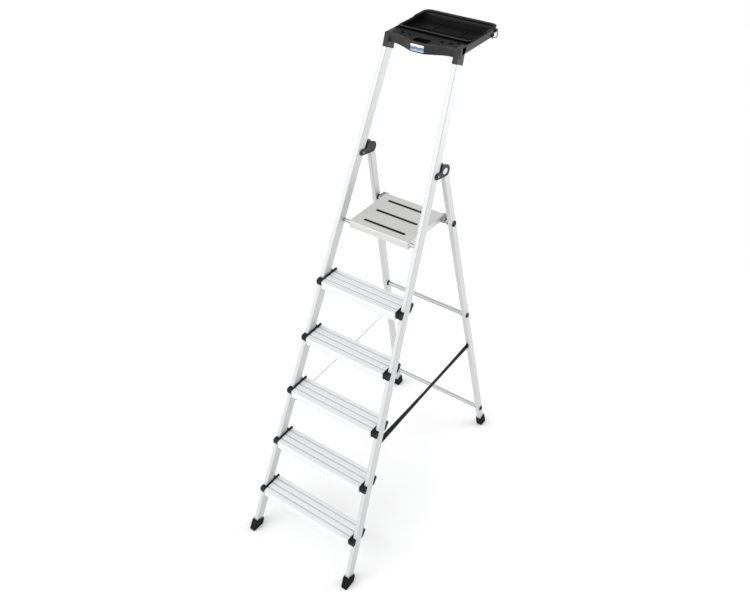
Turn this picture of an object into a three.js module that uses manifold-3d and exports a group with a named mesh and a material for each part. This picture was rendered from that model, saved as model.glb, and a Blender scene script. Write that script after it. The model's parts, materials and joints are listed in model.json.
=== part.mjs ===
// Aluminium step ladder with five ribbed treads, a folding platform and a tool tray on top.
// Millimetres, +Z up. The climber stands at -Y, looks along +Y, and +X is to the right.
// The origin is on the floor, at the middle of the ladder's bounding box.
// The front frame leans back, the rear frame is hinged behind it, and both widen towards the floor.
import * as THREE from "three";
import { mergeVertices } from "three/addons/utils/BufferGeometryUtils.js";
import Module from "manifold-3d";

const wasm = await Module();
wasm.setup();

// ---------------------------------------------------------------- driving dimensions
const rad = THREE.MathUtils.degToRad;
const GAP = 0.3; // clearance between pieces that touch
const BORE_GAP = 0.4; // radial clearance of a pin in its hole

const FRONT_LEAN = rad(24); // front frame, from the vertical
const REAR_LEAN = rad(12.8); // rear frame, from the vertical, the other way
const FOOT_HALF_WIDTH = 253.8; // stile centre to the middle plane, at the floor
const FRONT_SPLAY = 0.0521; // half width lost for each millimetre along a front stile
const REAR_SPLAY = 0.0546; // the same along a rear leg

const STILE = { width: 18, depth: 42, wall: 1.6, bottom: 18, top: 2150 };
const LEG = { width: 18.5, depth: 32, wall: 1.5, bottom: 10 };

const TREAD_COUNT = 5;
const TREAD_RISE = 225; // height from one tread to the next
const FIRST_TREAD_TOP = 220;
const TREAD = { front: 49, back: 52, frontLip: 36, backLip: 28, plate: 3, lip: 2.4 };
const GROOVE = { count: 4, depth: 1.2, top: 9, bottom: 7 };
const CAP = { thick: 8, nose: 5, noseReach: 2, rise: 6, tailReach: 18, tailHeight: 30 };

const FRONT_FOOT = { side: 5.5, toe: 5, heel: 4, height: 47 };
const REAR_FOOT = { side: 5.5, toe: 4, heel: 4, height: 56 };

// Hinge bracket, in the front frame's plane: along the stile and behind its centre line.
const PIVOT = { along: 1748, behind: 68, pin: 8, head: 13, headHeight: 2.5 };
const RIVET = { along: 1724, behind: 8, diameter: 6, head: 11, headHeight: 2 };
const BRACKET = { cheek: 4, clearance: 0.9, smallLobe: 12.5, bigLobe: 22, crown: 22, corner: 9 };
const INSERT = { along: 1743, behind: 56, length: 31, width: 21, thick: 1.6, tilt: rad(22) };

// Platform: flat sheet with folded edges, pinned at its front corners, resting on the rod behind.
const PLATFORM = {
  top: 1340, front: 590, halfWidth: 137, depth: 250, sheet: 2.5, frontLip: 29, sideLip: 22, backLip: 13,
  frontReturn: 24, // how far back the deep front lip carries round each corner
};
const PLATFORM_PIN = { height: 1328, y: 600, diameter: 10, head: 15, headHeight: 3 };
const STRIP = { halfLength: 95, width: 12, thick: 1.4, first: 631, pitch: 82, count: 3 };
const HOOK = { width: 25, depth: 30, outboard: 15, below: 2, exit: rad(29.5) };

// Rods and bars between the rear legs, by distance along the leg from the floor.
const BAR = { diameter: 18, wall: 1.5, upper: 818, lower: 127 };
const ROD = { diameter: 20, wall: 1.8, along: 1349 };
const PLUG = { lip: 3, head: 4.5, spigot: 12 };

// Top bow, basin and bucket hook, at the ladder's rest position.
const BOW = {
  ledge: 1981, sheet: 6, apron: 1946, apronThick: 5, bulge: 30, bulgeHalf: 112, front: 852, back: 925,
  side: 2.6, socketBottom: 2108, socketInner: 2.6, armEnd: 1104, armLow: 1078, armBottom: 1955, armThick: 5,
  tieHeight: 18, tieThick: 4,
};
const TOOL_HOLES = [[98, 884, 9], [66, 880, 7], [118, 902, 5]]; // x, y and radius, on both sides
const RECESS = { halfWidth: 31, front: 838, back: 872, corner: 12 };
const BASIN = { rim: 1987, floor: 1953, front: 924, back: 1126, wall: 3, rimWidth: 9, slope: 22, corner: 22 };
const BUCKET_HOOK = {
  wire: 4.5, bend: 5, reach: 10, top: [1094, 1974], corner: [1111, 1947], low: [1077, 1963], eye: 9,
};
const LABEL = { width: 54, height: 24, thick: 1.2 };

const STRAP = { width: 25, thick: 1.6, tread: 3, belowTread: 68, rear: 612, seen: 0.6 }; // front end below this tread
const ANCHOR = { front: 14, rear: 12, frontInboard: 4, height: 22, depth: 8 };

// ---------------------------------------------------------------- materials
const ALUMINIUM = { color: 0xd9dbdc, roughness: 0.42, metalness: 0.9 };
const TREAD_METAL = { color: 0xe0e2e4, roughness: 0.5, metalness: 0.85 };
const BAR_METAL = { color: 0xb8babb, roughness: 0.45, metalness: 0.9 };
const STEEL = { color: 0xaeb0b2, roughness: 0.35, metalness: 1 };
const BLACK_PLASTIC = { color: 0x2e3033, roughness: 0.6, metalness: 0 };
const GREY_PLASTIC = { color: 0xd6d8da, roughness: 0.5, metalness: 0 };
const RUBBER = { color: 0x1e1f21, roughness: 0.85, metalness: 0 };
const WEBBING = { color: 0x2b2c2e, roughness: 0.9, metalness: 0 };
const LABEL_FILM = { color: 0xb9cfe8, roughness: 0.4, metalness: 0 };

// ---------------------------------------------------------------- solids and booleans
const toSolid = (geometry) => {
  const plain = geometry.index ? geometry.toNonIndexed() : geometry.clone();
  const bare = new THREE.BufferGeometry().setAttribute("position", plain.getAttribute("position"));
  const merged = mergeVertices(bare, 1e-4);
  return new wasm.Manifold(
    new wasm.Mesh({
      numProp: 3,
      vertProperties: merged.attributes.position.array,
      triVerts: new Uint32Array(merged.index.array),
    }),
  );
};

const toGeometry = (body) => {
  const mesh = body.getMesh();
  const geometry = new THREE.BufferGeometry();
  geometry.setAttribute("position", new THREE.BufferAttribute(new Float32Array(mesh.vertProperties), 3));
  geometry.setIndex(new THREE.BufferAttribute(new Uint32Array(mesh.triVerts), 1));
  return geometry;
};

const join = (first, ...others) =>
  toGeometry(others.reduce((body, other) => body.add(toSolid(other)), toSolid(first)));
const cut = (first, ...others) =>
  toGeometry(others.reduce((body, other) => body.subtract(toSolid(other)), toSolid(first)));

// A box given by its lowest and highest corner.
const box = ([x0, y0, z0], [x1, y1, z1]) =>
  new THREE.BoxGeometry(x1 - x0, y1 - y0, z1 - z0).translate((x0 + x1) / 2, (y0 + y1) / 2, (z0 + z1) / 2);

// An outline in the Y-Z plane, carried along X from x0 to x1.
const TO_YZ = new THREE.Matrix4().makeBasis(
  new THREE.Vector3(0, 1, 0), new THREE.Vector3(0, 0, 1), new THREE.Vector3(1, 0, 0));
const extrudeX = (shape, x0, x1, curveSegments = 10) =>
  new THREE.ExtrudeGeometry(shape, { depth: x1 - x0, bevelEnabled: false, curveSegments })
    .applyMatrix4(TO_YZ).translate(x0, 0, 0);

// An outline in the X-Y plane, carried up Z from z0 to z1.
const extrudeZ = (shape, z0, z1, curveSegments = 6) =>
  new THREE.ExtrudeGeometry(shape, { depth: z1 - z0, bevelEnabled: false, curveSegments })
    .translate(0, 0, z0);

const polygon = (points) => new THREE.Shape(points.map(([a, b]) => new THREE.Vector2(a, b)));

// A round bar along X, with its corners on the true circle.
const barX = (diameter, x0, x1, y, z, sides = 20) =>
  new THREE.CylinderGeometry(diameter / 2, diameter / 2, x1 - x0, sides)
    .rotateZ(-Math.PI / 2).translate((x0 + x1) / 2, y, z);
// A hole's cutter is a little larger, so that its flats clear a round bar of the given diameter.
const boreX = (diameter, x0, x1, y, z, sides = 20) =>
  barX((diameter + 2 * BORE_GAP) / Math.cos(Math.PI / sides), x0, x1, y, z, sides);

const roundedRect = (halfX, y0, y1, radius) => {
  const shape = new THREE.Shape();
  shape.absarc(halfX - radius, y0 + radius, radius, -Math.PI / 2, 0, false);
  shape.absarc(halfX - radius, y1 - radius, radius, 0, Math.PI / 2, false);
  shape.absarc(-halfX + radius, y1 - radius, radius, Math.PI / 2, Math.PI, false);
  shape.absarc(-halfX + radius, y0 + radius, radius, Math.PI, 1.5 * Math.PI, false);
  return shape;
};

// ---------------------------------------------------------------- frames of reference
const SIDES = [["left", -1], ["right", 1]];

// Front plane: X stays, Y is the distance behind the stiles' centre line, Z runs up along them.
const frontPlane = new THREE.Matrix4().makeRotationX(-FRONT_LEAN);
const frontPoint = (x, behind, along) => new THREE.Vector3(x, behind, along).applyMatrix4(frontPlane);
const stileX = (along) => FOOT_HALF_WIDTH - FRONT_SPLAY * along;
// A stile's own axes: X across it, Y behind its centre line, Z up along it.
const stileFrame = (side) =>
  frontPlane.clone()
    .multiply(new THREE.Matrix4().makeTranslation(side * FOOT_HALF_WIDTH, 0, 0))
    .multiply(new THREE.Matrix4().makeRotationY(-side * Math.atan(FRONT_SPLAY)));
const stileXAtHeight = (z) => stileX(z / Math.cos(FRONT_LEAN));
const stileYAtHeight = (z) => z * Math.tan(FRONT_LEAN);

// Rear plane: the same for the rear legs, which meet the hinge pivots at their centre line.
const pivot = frontPoint(0, PIVOT.behind, PIVOT.along);
const LEG_LENGTH = pivot.z / Math.cos(REAR_LEAN); // from the floor to the pivot
const rearFootY = pivot.y + pivot.z * Math.tan(REAR_LEAN);
const rearPlane = new THREE.Matrix4().makeTranslation(0, rearFootY, 0)
  .multiply(new THREE.Matrix4().makeRotationX(REAR_LEAN));
const legX = (along) => stileX(PIVOT.along) + REAR_SPLAY * (LEG_LENGTH - along);
const legFrame = (side) =>
  rearPlane.clone()
    .multiply(new THREE.Matrix4().makeTranslation(side * legX(0), 0, 0))
    .multiply(new THREE.Matrix4().makeRotationY(-side * Math.atan(REAR_SPLAY)));
// A bracket's own axes: the front plane's, turned with the stile about the hinge pivot's height.
const bracketFrame = (side) =>
  frontPlane.clone()
    .multiply(new THREE.Matrix4().makeTranslation(side * stileX(PIVOT.along), 0, PIVOT.along))
    .multiply(new THREE.Matrix4().makeRotationY(-side * Math.atan(FRONT_SPLAY)))
    .multiply(new THREE.Matrix4().makeTranslation(0, 0, -PIVOT.along));
const rearPoint = (behind, along) => new THREE.Vector3(0, behind, along).applyMatrix4(rearPlane);
const rod = rearPoint(0, ROD.along);

const ladder = new THREE.Group();
const add = (name, geometry, look) => {
  const mesh = new THREE.Mesh(geometry, new THREE.MeshStandardMaterial(look));
  mesh.name = name;
  ladder.add(mesh);
};

// ---------------------------------------------------------------- front stiles
// The room that a stile fills, grown by a clearance.
const stileRoom = (side, grow = GAP, from = -80, to = STILE.top + 2) => {
  const w = STILE.width / 2 + grow;
  const d = STILE.depth / 2 + grow;
  return box([-w, -d, from], [w, d, to]).applyMatrix4(stileFrame(side));
};

const stile = (side) => {
  const w = STILE.width / 2;
  const d = STILE.depth / 2;
  const t = STILE.wall;
  const tube = cut(
    box([-w, -d, STILE.bottom], [w, d, STILE.top]),
    box([-w + t, -d + t, STILE.bottom - 1], [w - t, d - t, STILE.top + 1]),
  ).applyMatrix4(stileFrame(side));
  const pinX = side * stileXAtHeight(PLATFORM_PIN.height);
  const pin = boreX(PLATFORM_PIN.diameter, pinX - 30, pinX + 30, PLATFORM_PIN.y, PLATFORM_PIN.height, 16);
  const rivet = boreX(RIVET.diameter, -30, 30, RIVET.behind, 0, 12)
    .translate(side * stileX(RIVET.along), 0, RIVET.along).applyMatrix4(frontPlane);
  return cut(tube, pin, rivet);
};

const frontFoot = (side) => {
  const w = STILE.width / 2 + FRONT_FOOT.side;
  const d = STILE.depth / 2;
  const sleeve = box([-w, -d - FRONT_FOOT.toe, -70], [w, d + FRONT_FOOT.heel, FRONT_FOOT.height])
    .applyMatrix4(stileFrame(side));
  const below = box([-600, -400, -400], [600, 400, 0]);
  return cut(sleeve, below, stileRoom(side, GAP, STILE.bottom - GAP));
};

// ---------------------------------------------------------------- treads and their end caps
const treadTop = (index) => FIRST_TREAD_TOP + TREAD_RISE * index;
const treadEnd = (top) => stileXAtHeight(top) - STILE.width / 2 - CAP.thick;

// Folded profile: a grooved plate with a lip at the front and one at the back.
const treadProfile = (top) => {
  const y = stileYAtHeight(top);
  const front = y - TREAD.front;
  const back = y + TREAD.back;
  const under = top - TREAD.plate;
  const points = [[front, top - TREAD.frontLip], [front + TREAD.lip, top - TREAD.frontLip],
    [front + TREAD.lip, under], [back - TREAD.lip, under],
    [back - TREAD.lip, top - TREAD.backLip], [back, top - TREAD.backLip], [back, top]];
  const pitch = (TREAD.front + TREAD.back) / GROOVE.count;
  for (let i = GROOVE.count - 0.5; i > 0; i--) {
    const middle = front + i * pitch;
    points.push([middle + GROOVE.top / 2, top], [middle + GROOVE.bottom / 2, top - GROOVE.depth],
      [middle - GROOVE.bottom / 2, top - GROOVE.depth], [middle - GROOVE.top / 2, top]);
  }
  points.push([front, top]);
  return polygon(points);
};

const tread = (top) => {
  const end = treadEnd(top) - GAP;
  return extrudeX(treadProfile(top), -end, end);
};

// Moulded cap: a plate on the tread's end, a nose in front of the stile and a tail behind it.
const treadCap = (side, top) => {
  const y = stileYAtHeight(top);
  const inner = treadEnd(top);
  const centre = stileXAtHeight(top);
  const span = (x0, x1) => (side > 0 ? [x0, x1] : [-x1, -x0]);
  const stileFront = y - STILE.depth / 2 / Math.cos(FRONT_LEAN);
  const stileBack = y + STILE.depth / 2 / Math.cos(FRONT_LEAN);
  const front = y - TREAD.front;
  const back = y + TREAD.back;
  const bottom = top - TREAD.frontLip;
  const backBottom = top - TREAD.backLip - 2;
  const ear = top + CAP.rise;
  const plate = extrudeX(polygon([
    [front - 1, bottom - 1], [front + 30, bottom - 1], [back - 10, backBottom], [back + 3, backBottom],
    [back + 3, ear], [back - 8, ear], [back - 22, top + 2], [front - 1, top + 2],
  ]), ...span(inner, centre - STILE.width / 2 + 3));
  const noseFront = front - CAP.nose;
  const nose = extrudeX(polygon([
    [noseFront + 3, bottom], [stileFront, bottom], [stileFront + 14, bottom + 10], [stileFront + 18, ear],
    [noseFront + 5, ear], [noseFront, top], [noseFront, bottom + 6],
  ]), ...span(inner + 1, centre + CAP.noseReach));
  const tailBack = stileBack + CAP.tailReach;
  const tail = extrudeX(polygon([
    [stileBack - 26, top - CAP.tailHeight], [tailBack - 10, top - CAP.tailHeight], [tailBack, top - 8],
    [tailBack, top], [tailBack - 4, top + 4], [stileBack - 10, top + 4],
  ]), ...span(inner + 1, centre + STILE.width / 2));
  return cut(join(plate, nose, tail), stileRoom(side));
};

// ---------------------------------------------------------------- hinge brackets
const bracketSlot = LEG.width / 2 + BRACKET.clearance; // half the slot the leg turns in
const bracketHalf = bracketSlot + BRACKET.cheek; // half the bracket's width
// The cheeks slope with the stile, so a flat head on a level pin stands a little further off.
const HEAD_STANDOFF = GAP + FRONT_SPLAY * (PIVOT.head + 1);

// Two-lobed outline: a small lobe over the stile, a big one round the rear leg's top.
const bracketOutline = () => {
  const { smallLobe, bigLobe, crown, corner } = BRACKET;
  const shape = new THREE.Shape();
  const rear = STILE.depth / 2 + 2;
  const top = PIVOT.along + crown;
  shape.moveTo(rear, PIVOT.along);
  shape.lineTo(rear, top - corner);
  shape.quadraticCurveTo(rear, top, rear + corner, top);
  shape.absarc(PIVOT.behind - 5, PIVOT.along, bigLobe, Math.PI / 2, rad(-70), true);
  shape.absarc(RIVET.behind - 3, RIVET.along, smallLobe, rad(-75), rad(-260), true);
  shape.quadraticCurveTo(rear - 6, RIVET.along + smallLobe + 2, rear, PIVOT.along);
  return shape;
};

const hingeBracket = (side) => {
  const body = extrudeX(bracketOutline(), -bracketHalf, bracketHalf, 8);
  const web = PIVOT.behind - LEG.depth / 2 - 2 * BRACKET.clearance;
  const legSlot = box([-bracketSlot, web, PIVOT.along - 90],
    [bracketSlot, PIVOT.behind + 60, PIVOT.along + 90]);
  const toBracket = (bore) => bore.translate(side * stileX(PIVOT.along), 0, 0).applyMatrix4(frontPlane);
  const pin = toBracket(boreX(PIVOT.pin, -30, 30, PIVOT.behind, PIVOT.along, 12));
  const rivet = toBracket(boreX(RIVET.diameter, -30, 30, RIVET.behind, RIVET.along, 12));
  const placed = cut(body, legSlot).applyMatrix4(bracketFrame(side));
  return cut(placed, pin, rivet, stileRoom(side, GAP, PIVOT.along - 120, PIVOT.along + 120));
};

// A headed pin from the outer cheek into the inner one; the left one is the right one turned round.
const hingePin = (side) => {
  const start = bracketHalf + HEAD_STANDOFF;
  const shank = barX(PIVOT.pin, -start - 1, bracketHalf - 1.2, PIVOT.behind, PIVOT.along, 12);
  const head = barX(PIVOT.head, -start - PIVOT.headHeight, -start, PIVOT.behind, PIVOT.along, 12);
  const pin = join(shank, head);
  if (side < 0) pin.rotateZ(Math.PI).translate(0, 2 * PIVOT.behind, 0);
  return pin.translate(side * stileX(PIVOT.along), 0, 0).applyMatrix4(frontPlane);
};

const bracketRivet = (side) => {
  // The rivet sits below the pivot, where the sloping cheeks are further out on one side.
  const drift = FRONT_SPLAY * (PIVOT.along - RIVET.along);
  const reach = bracketHalf + HEAD_STANDOFF;
  const shank = barX(RIVET.diameter, -reach - 1, reach + 1, RIVET.behind, RIVET.along, 12);
  const innerHead = barX(RIVET.head, -reach - RIVET.headHeight, -reach, RIVET.behind, RIVET.along, 12);
  const outerHead = barX(RIVET.head, reach, reach + RIVET.headHeight, RIVET.behind, RIVET.along, 12);
  return join(shank, innerHead, outerHead)
    .translate(side * (stileX(PIVOT.along) + drift), 0, 0).applyMatrix4(frontPlane);
};

const bracketInsert = (side) => {
  const oval = new THREE.Shape();
  oval.absellipse(0, 0, INSERT.length / 2, INSERT.width / 2, 0, 2 * Math.PI, false, 0);
  const x = bracketHalf + GAP;
  const near = side > 0 ? x : -x - INSERT.thick;
  return extrudeX(oval, near, near + INSERT.thick, 14).rotateX(INSERT.tilt)
    .translate(0, INSERT.behind, INSERT.along).applyMatrix4(bracketFrame(side));
};

// ---------------------------------------------------------------- rear frame
const legOutline = (inset, from, top) => {
  const d = LEG.depth / 2 - inset;
  const shape = new THREE.Shape();
  shape.moveTo(-d, from);
  shape.lineTo(d, from);
  shape.absarc(0, top, d, 0, Math.PI, false);
  return shape;
};

const rearBars = [[BAR.diameter, BAR.upper], [BAR.diameter, BAR.lower], [ROD.diameter, ROD.along]];

const rearLeg = (side) => {
  const w = LEG.width / 2;
  const outer = extrudeX(legOutline(0, LEG.bottom, LEG_LENGTH), -w, w, 8);
  const inner = extrudeX(legOutline(LEG.wall, LEG.bottom - 1, LEG_LENGTH), -w + LEG.wall, w - LEG.wall, 8);
  const leg = cut(outer, inner).applyMatrix4(legFrame(side));
  const holes = rearBars.map(([diameter, along]) => {
    const at = rearPoint(0, along);
    return boreX(diameter, side * legX(along) - 40, side * legX(along) + 40, at.y, at.z);
  });
  const pinX = side * legX(LEG_LENGTH);
  const pinHole = boreX(PIVOT.pin, pinX - 40, pinX + 40, pivot.y, pivot.z, 12);
  return cut(leg, pinHole, ...holes);
};

const rearFoot = (side) => {
  const w = LEG.width / 2 + REAR_FOOT.side;
  const d = LEG.depth / 2;
  const sleeve = box([-w, -d - REAR_FOOT.toe, -70], [w, d + REAR_FOOT.heel, REAR_FOOT.height])
    .applyMatrix4(legFrame(side));
  const below = box([-600, 0, -400], [600, 2500, 0]);
  const room = box([-LEG.width / 2 - GAP, -d - GAP, LEG.bottom - GAP], [LEG.width / 2 + GAP, d + GAP, 200])
    .applyMatrix4(legFrame(side));
  return cut(sleeve, below, room);
};

// Half the length of a bar that ends flush with the legs' outer faces.
const barReach = (along) => legX(along) + LEG.width / 2;
const rearBar = (diameter, wall, along) => {
  const at = rearPoint(0, along);
  const reach = barReach(along);
  const inside = barX(diameter - 2 * wall, -reach - 1, reach + 1, at.y, at.z);
  return cut(barX(diameter, -reach, reach, at.y, at.z), inside);
};

const endPlug = (side, diameter, wall, along) => {
  const at = rearPoint(0, along);
  const start = barReach(along) + 1; // the leg's face slopes, so the head stands a little off it
  const spigot = diameter / 2 - wall - 2 * BORE_GAP;
  const rim = diameter / 2 + PLUG.lip;
  const profile = [[0, -PLUG.spigot], [spigot, -PLUG.spigot], [spigot, 0], [rim, 0],
    [rim, PLUG.head * 0.45], [diameter / 2 - 1, PLUG.head], [0, PLUG.head]];
  return new THREE.LatheGeometry(profile.map(([r, h]) => new THREE.Vector2(r, h)), 20)
    .rotateZ(-side * Math.PI / 2).translate(side * start, at.y, at.z);
};

// ---------------------------------------------------------------- platform
const platformBack = PLATFORM.front + PLATFORM.depth;
const hookFront = rod.y - HOOK.depth / 2;

const platformPlate = () => {
  const { top, front, halfWidth, sheet, frontLip, sideLip, backLip, frontReturn } = PLATFORM;
  const outside = halfWidth + 1;
  const beyond = platformBack + 1;
  const low = top - frontLip - 1;
  const under = top - sheet;
  const blank = box([-halfWidth, front, top - frontLip], [halfWidth, platformBack, top]);
  const hollow = box([-halfWidth + sheet, front + sheet, low],
    [halfWidth - sheet, platformBack - sheet, under]);
  // The side edges are shallower than the front, and the back edge is shallower again.
  const sideTrim = box([-outside, front + frontReturn, low], [outside, beyond, top - sideLip]);
  const backTrim = box([-outside, platformBack - sheet - 1, low], [outside, beyond, top - backLip]);
  // The folded edges stop in front of the hooks, and the back edge stops between them.
  const hookInner = halfWidth - HOOK.width + HOOK.outboard - 2;
  const sideEnds = box([-outside, hookFront - 4, low], [outside, platformBack - sheet - 0.5, under]);
  const leftCorner = box([-outside, hookFront - 4, low], [-hookInner, beyond, under]);
  const rightCorner = box([hookInner, hookFront - 4, low], [outside, beyond, under]);
  const { y, height, diameter } = PLATFORM_PIN;
  const pin = boreX(diameter, -halfWidth - 5, halfWidth + 5, y, height, 16);
  return cut(blank, hollow, sideTrim, backTrim, sideEnds, leftCorner, rightCorner, pin);
};

// Moulded hook under each rear corner, open below and in front, that sits over the rear rod.
const platformHook = (side) => {
  const outer = PLATFORM.halfWidth + HOOK.outboard;
  const inner = outer - HOOK.width;
  const [x0, x1] = side > 0 ? [inner, outer] : [-outer, -inner];
  const top = PLATFORM.top - PLATFORM.sheet - GAP;
  const body = box([x0, hookFront, rod.z - HOOK.below], [x1, hookFront + HOOK.depth, top]);
  // The rod leaves the hook downwards and forwards as the ladder starts to fold.
  const half = ROD.diameter / 2 + 2 * BORE_GAP;
  const exit = box([x0 - 1, -half, -40], [x1 + 1, half, 0]).rotateX(-HOOK.exit).translate(0, rod.y, rod.z);
  return cut(body, boreX(ROD.diameter, x0 - 1, x1 + 1, rod.y, rod.z), exit);
};

const platformPin = (side) => {
  const { y, height, diameter, head, headHeight } = PLATFORM_PIN;
  const outer = stileXAtHeight(height) + STILE.width / 2 - 1;
  const inner = PLATFORM.halfWidth - PLATFORM.sheet - GAP;
  const collarEnd = stileXAtHeight(height) - STILE.width / 2 - 2;
  const pin = join(
    barX(diameter, inner - 1, outer, y, height, 16),
    barX(head, inner - headHeight, inner, y, height, 16),
    barX(head, PLATFORM.halfWidth + GAP, collarEnd, y, height, 16),
  );
  return side > 0 ? pin : pin.rotateZ(Math.PI).translate(0, 2 * y, 0);
};

const stripCentre = (index) => STRIP.first + index * STRIP.pitch;
const antiSlipStrip = (index) => {
  const { halfLength, width, thick } = STRIP;
  const y = stripCentre(index);
  const outline = roundedRect(halfLength, y - width / 2, y + width / 2, width / 2 - 0.5);
  return extrudeZ(outline, PLATFORM.top, PLATFORM.top + thick, 4);
};

// ---------------------------------------------------------------- top bow, basin, hook and label
const bowSide = stileX(STILE.top) + STILE.width / 2 + BOW.side; // outer face of the sockets and arms
const bowFrontY = (x) => {
  const reach = Math.min(Math.abs(x) / BOW.bulgeHalf, 1);
  return BOW.front - (BOW.bulge / 2) * (1 + Math.cos(Math.PI * reach));
};
const bowFrontPoints = (shift) => {
  const points = [];
  const steps = 20;
  for (let i = 0; i <= steps; i++) {
    const x = -bowSide + (2 * bowSide * i) / steps;
    const flat = Math.max(Math.abs(x), LABEL.width / 2); // flat behind the label
    points.push([x, bowFrontY(flat) + shift]);
  }
  return points;
};

const topBow = () => {
  const ledge = extrudeZ(polygon([...bowFrontPoints(0), [bowSide, BOW.back], [-bowSide, BOW.back]]),
    BOW.ledge - BOW.sheet, BOW.ledge);
  const apron = extrudeZ(polygon([...bowFrontPoints(0), ...bowFrontPoints(BOW.apronThick).reverse()]),
    BOW.apron, BOW.ledge);
  const tie = box([-bowSide + 1, BOW.armEnd - BOW.tieThick, BOW.ledge - BOW.tieHeight],
    [bowSide - 1, BOW.armEnd, BOW.ledge - GAP]);
  const parts = [apron, tie, eyeBlock(BUCKET_HOOK.top), eyeBlock(BUCKET_HOOK.low)];
  const foot = frontPoint(0, -STILE.depth / 2 - 3, BOW.socketBottom);
  const heel = frontPoint(0, STILE.depth / 2 + 3, BOW.socketBottom);
  const socket = polygon([[foot.y, foot.z], [heel.y, heel.z], [heel.y + 10, BOW.armBottom],
    [heel.y + 22, BOW.ledge], [BOW.front, BOW.ledge]]);
  const arm = polygon([[heel.y - 10, BOW.armBottom], [BOW.armLow, BOW.armBottom],
    [BOW.armEnd, BOW.armBottom + 15], [BOW.armEnd, BOW.ledge], [heel.y - 10, BOW.ledge]]);
  const socketInner = stileX(BOW.socketBottom) - STILE.width / 2 - BOW.socketInner;
  const holes = [hookBore()];
  for (const [, side] of SIDES) {
    const span = (a, b) => (side > 0 ? [a, b] : [-b, -a]);
    parts.push(extrudeX(socket, ...span(socketInner, bowSide)));
    parts.push(extrudeX(arm, ...span(bowSide - BOW.armThick, bowSide)));
    holes.push(stileRoom(side));
    for (const [x, y, radius] of TOOL_HOLES)
      holes.push(new THREE.CylinderGeometry(radius, radius, 40, 14)
        .rotateX(Math.PI / 2).translate(side * x, y, BOW.ledge));
  }
  holes.push(extrudeZ(roundedRect(RECESS.halfWidth, RECESS.front, RECESS.back, RECESS.corner),
    BOW.ledge - 20, BOW.ledge + 10));
  return cut(join(ledge, ...parts), ...holes);
};

// The bucket hook's wire turns in two eyes on the right arm, on the line from its top to its low end.
const hookX = bowSide + 1.2 + BUCKET_HOOK.wire / 2;
const hookTop = new THREE.Vector3(hookX, ...BUCKET_HOOK.top);
const hookLow = new THREE.Vector3(hookX, ...BUCKET_HOOK.low);
const hookAxis = hookLow.clone().sub(hookTop).normalize();
function eyeBlock([y, z]) {
  const half = BUCKET_HOOK.eye / 2;
  return box([bowSide - 2, y - half, z - half], [hookX + BUCKET_HOOK.wire / 2 + 2, y + half, z + half]);
}
function hookBore() {
  const radius = BUCKET_HOOK.wire / 2 + 0.7;
  const turn = new THREE.Quaternion().setFromUnitVectors(new THREE.Vector3(0, 1, 0), hookAxis);
  const middle = hookTop.clone().add(hookLow).multiplyScalar(0.5);
  return new THREE.CylinderGeometry(radius, radius, 120, 12).applyQuaternion(turn)
    .translate(middle.x, middle.y, middle.z);
}

const bucketHook = () => {
  const half = BUCKET_HOOK.eye / 2;
  const onAxis = (point, shift) => point.clone().addScaledVector(hookAxis, shift);
  const beyond = half + BUCKET_HOOK.reach; // the wire passes its eyes before it bends
  const points = [onAxis(hookTop, half - 2), onAxis(hookTop, -beyond),
    new THREE.Vector3(hookX, ...BUCKET_HOOK.corner), onAxis(hookLow, beyond), onAxis(hookLow, -half + 2)];
  const path = new THREE.CurvePath();
  let last = points[0];
  for (let i = 1; i < points.length - 1; i++) {
    const before = points[i].clone().add(points[i - 1].clone().sub(points[i]).setLength(BUCKET_HOOK.bend));
    const after = points[i].clone().add(points[i + 1].clone().sub(points[i]).setLength(BUCKET_HOOK.bend));
    path.add(new THREE.LineCurve3(last, before));
    path.add(new THREE.QuadraticBezierCurve3(before, points[i], after));
    last = after;
  }
  path.add(new THREE.LineCurve3(last, points[points.length - 1]));
  const section = new THREE.Shape();
  section.absarc(0, 0, BUCKET_HOOK.wire / 2, 0, 2 * Math.PI, false);
  const options = { steps: 60, curveSegments: 5, extrudePath: path, bevelEnabled: false };
  return new THREE.ExtrudeGeometry(section, options);
};

const toolTray = () => {
  const { rim, floor, front, back, wall, rimWidth, slope, corner } = BASIN;
  const side = bowSide - BOW.armThick - 1;
  const y0 = front + rimWidth;
  const y1 = back - rimWidth - slope;
  const shell = extrudeZ(roundedRect(side, y0, y1, corner), floor, rim);
  const flange = extrudeZ(roundedRect(bowSide, front, back, corner + 4), BOW.ledge + GAP, rim);
  const inside = roundedRect(side - wall, y0 + wall, y1 - wall, corner - wall);
  const hollow = extrudeZ(inside, floor + wall, rim + 5);
  return cut(join(shell, flange), hollow);
};

const label = () => {
  const y = bowFrontY(LABEL.width / 2) - GAP;
  const z = (BOW.apron + BOW.ledge) / 2;
  const half = LABEL.width / 2;
  return box([-half, y - LABEL.thick, z - LABEL.height / 2], [half, y, z + LABEL.height / 2]);
};

// ---------------------------------------------------------------- spreader straps
const frontAnchorCentre = (side) => {
  const height = FIRST_TREAD_TOP + (STRAP.tread - 1) * TREAD_RISE - STRAP.belowTread;
  const along = height / Math.cos(FRONT_LEAN);
  const x = side * (stileX(along) - ANCHOR.frontInboard);
  return frontPoint(x, STILE.depth / 2 + GAP + ANCHOR.depth / 2, along);
};
const rearAnchorCentre = (side) => {
  const along = STRAP.rear / Math.cos(REAR_LEAN);
  return new THREE.Vector3(side * legX(along), -LEG.depth / 2 - GAP - ANCHOR.depth / 2, along)
    .applyMatrix4(rearPlane);
};
const strapAnchor = (centre, width, lean) =>
  new THREE.BoxGeometry(width, ANCHOR.depth, ANCHOR.height).rotateX(lean)
    .translate(centre.x, centre.y, centre.z);

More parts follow.
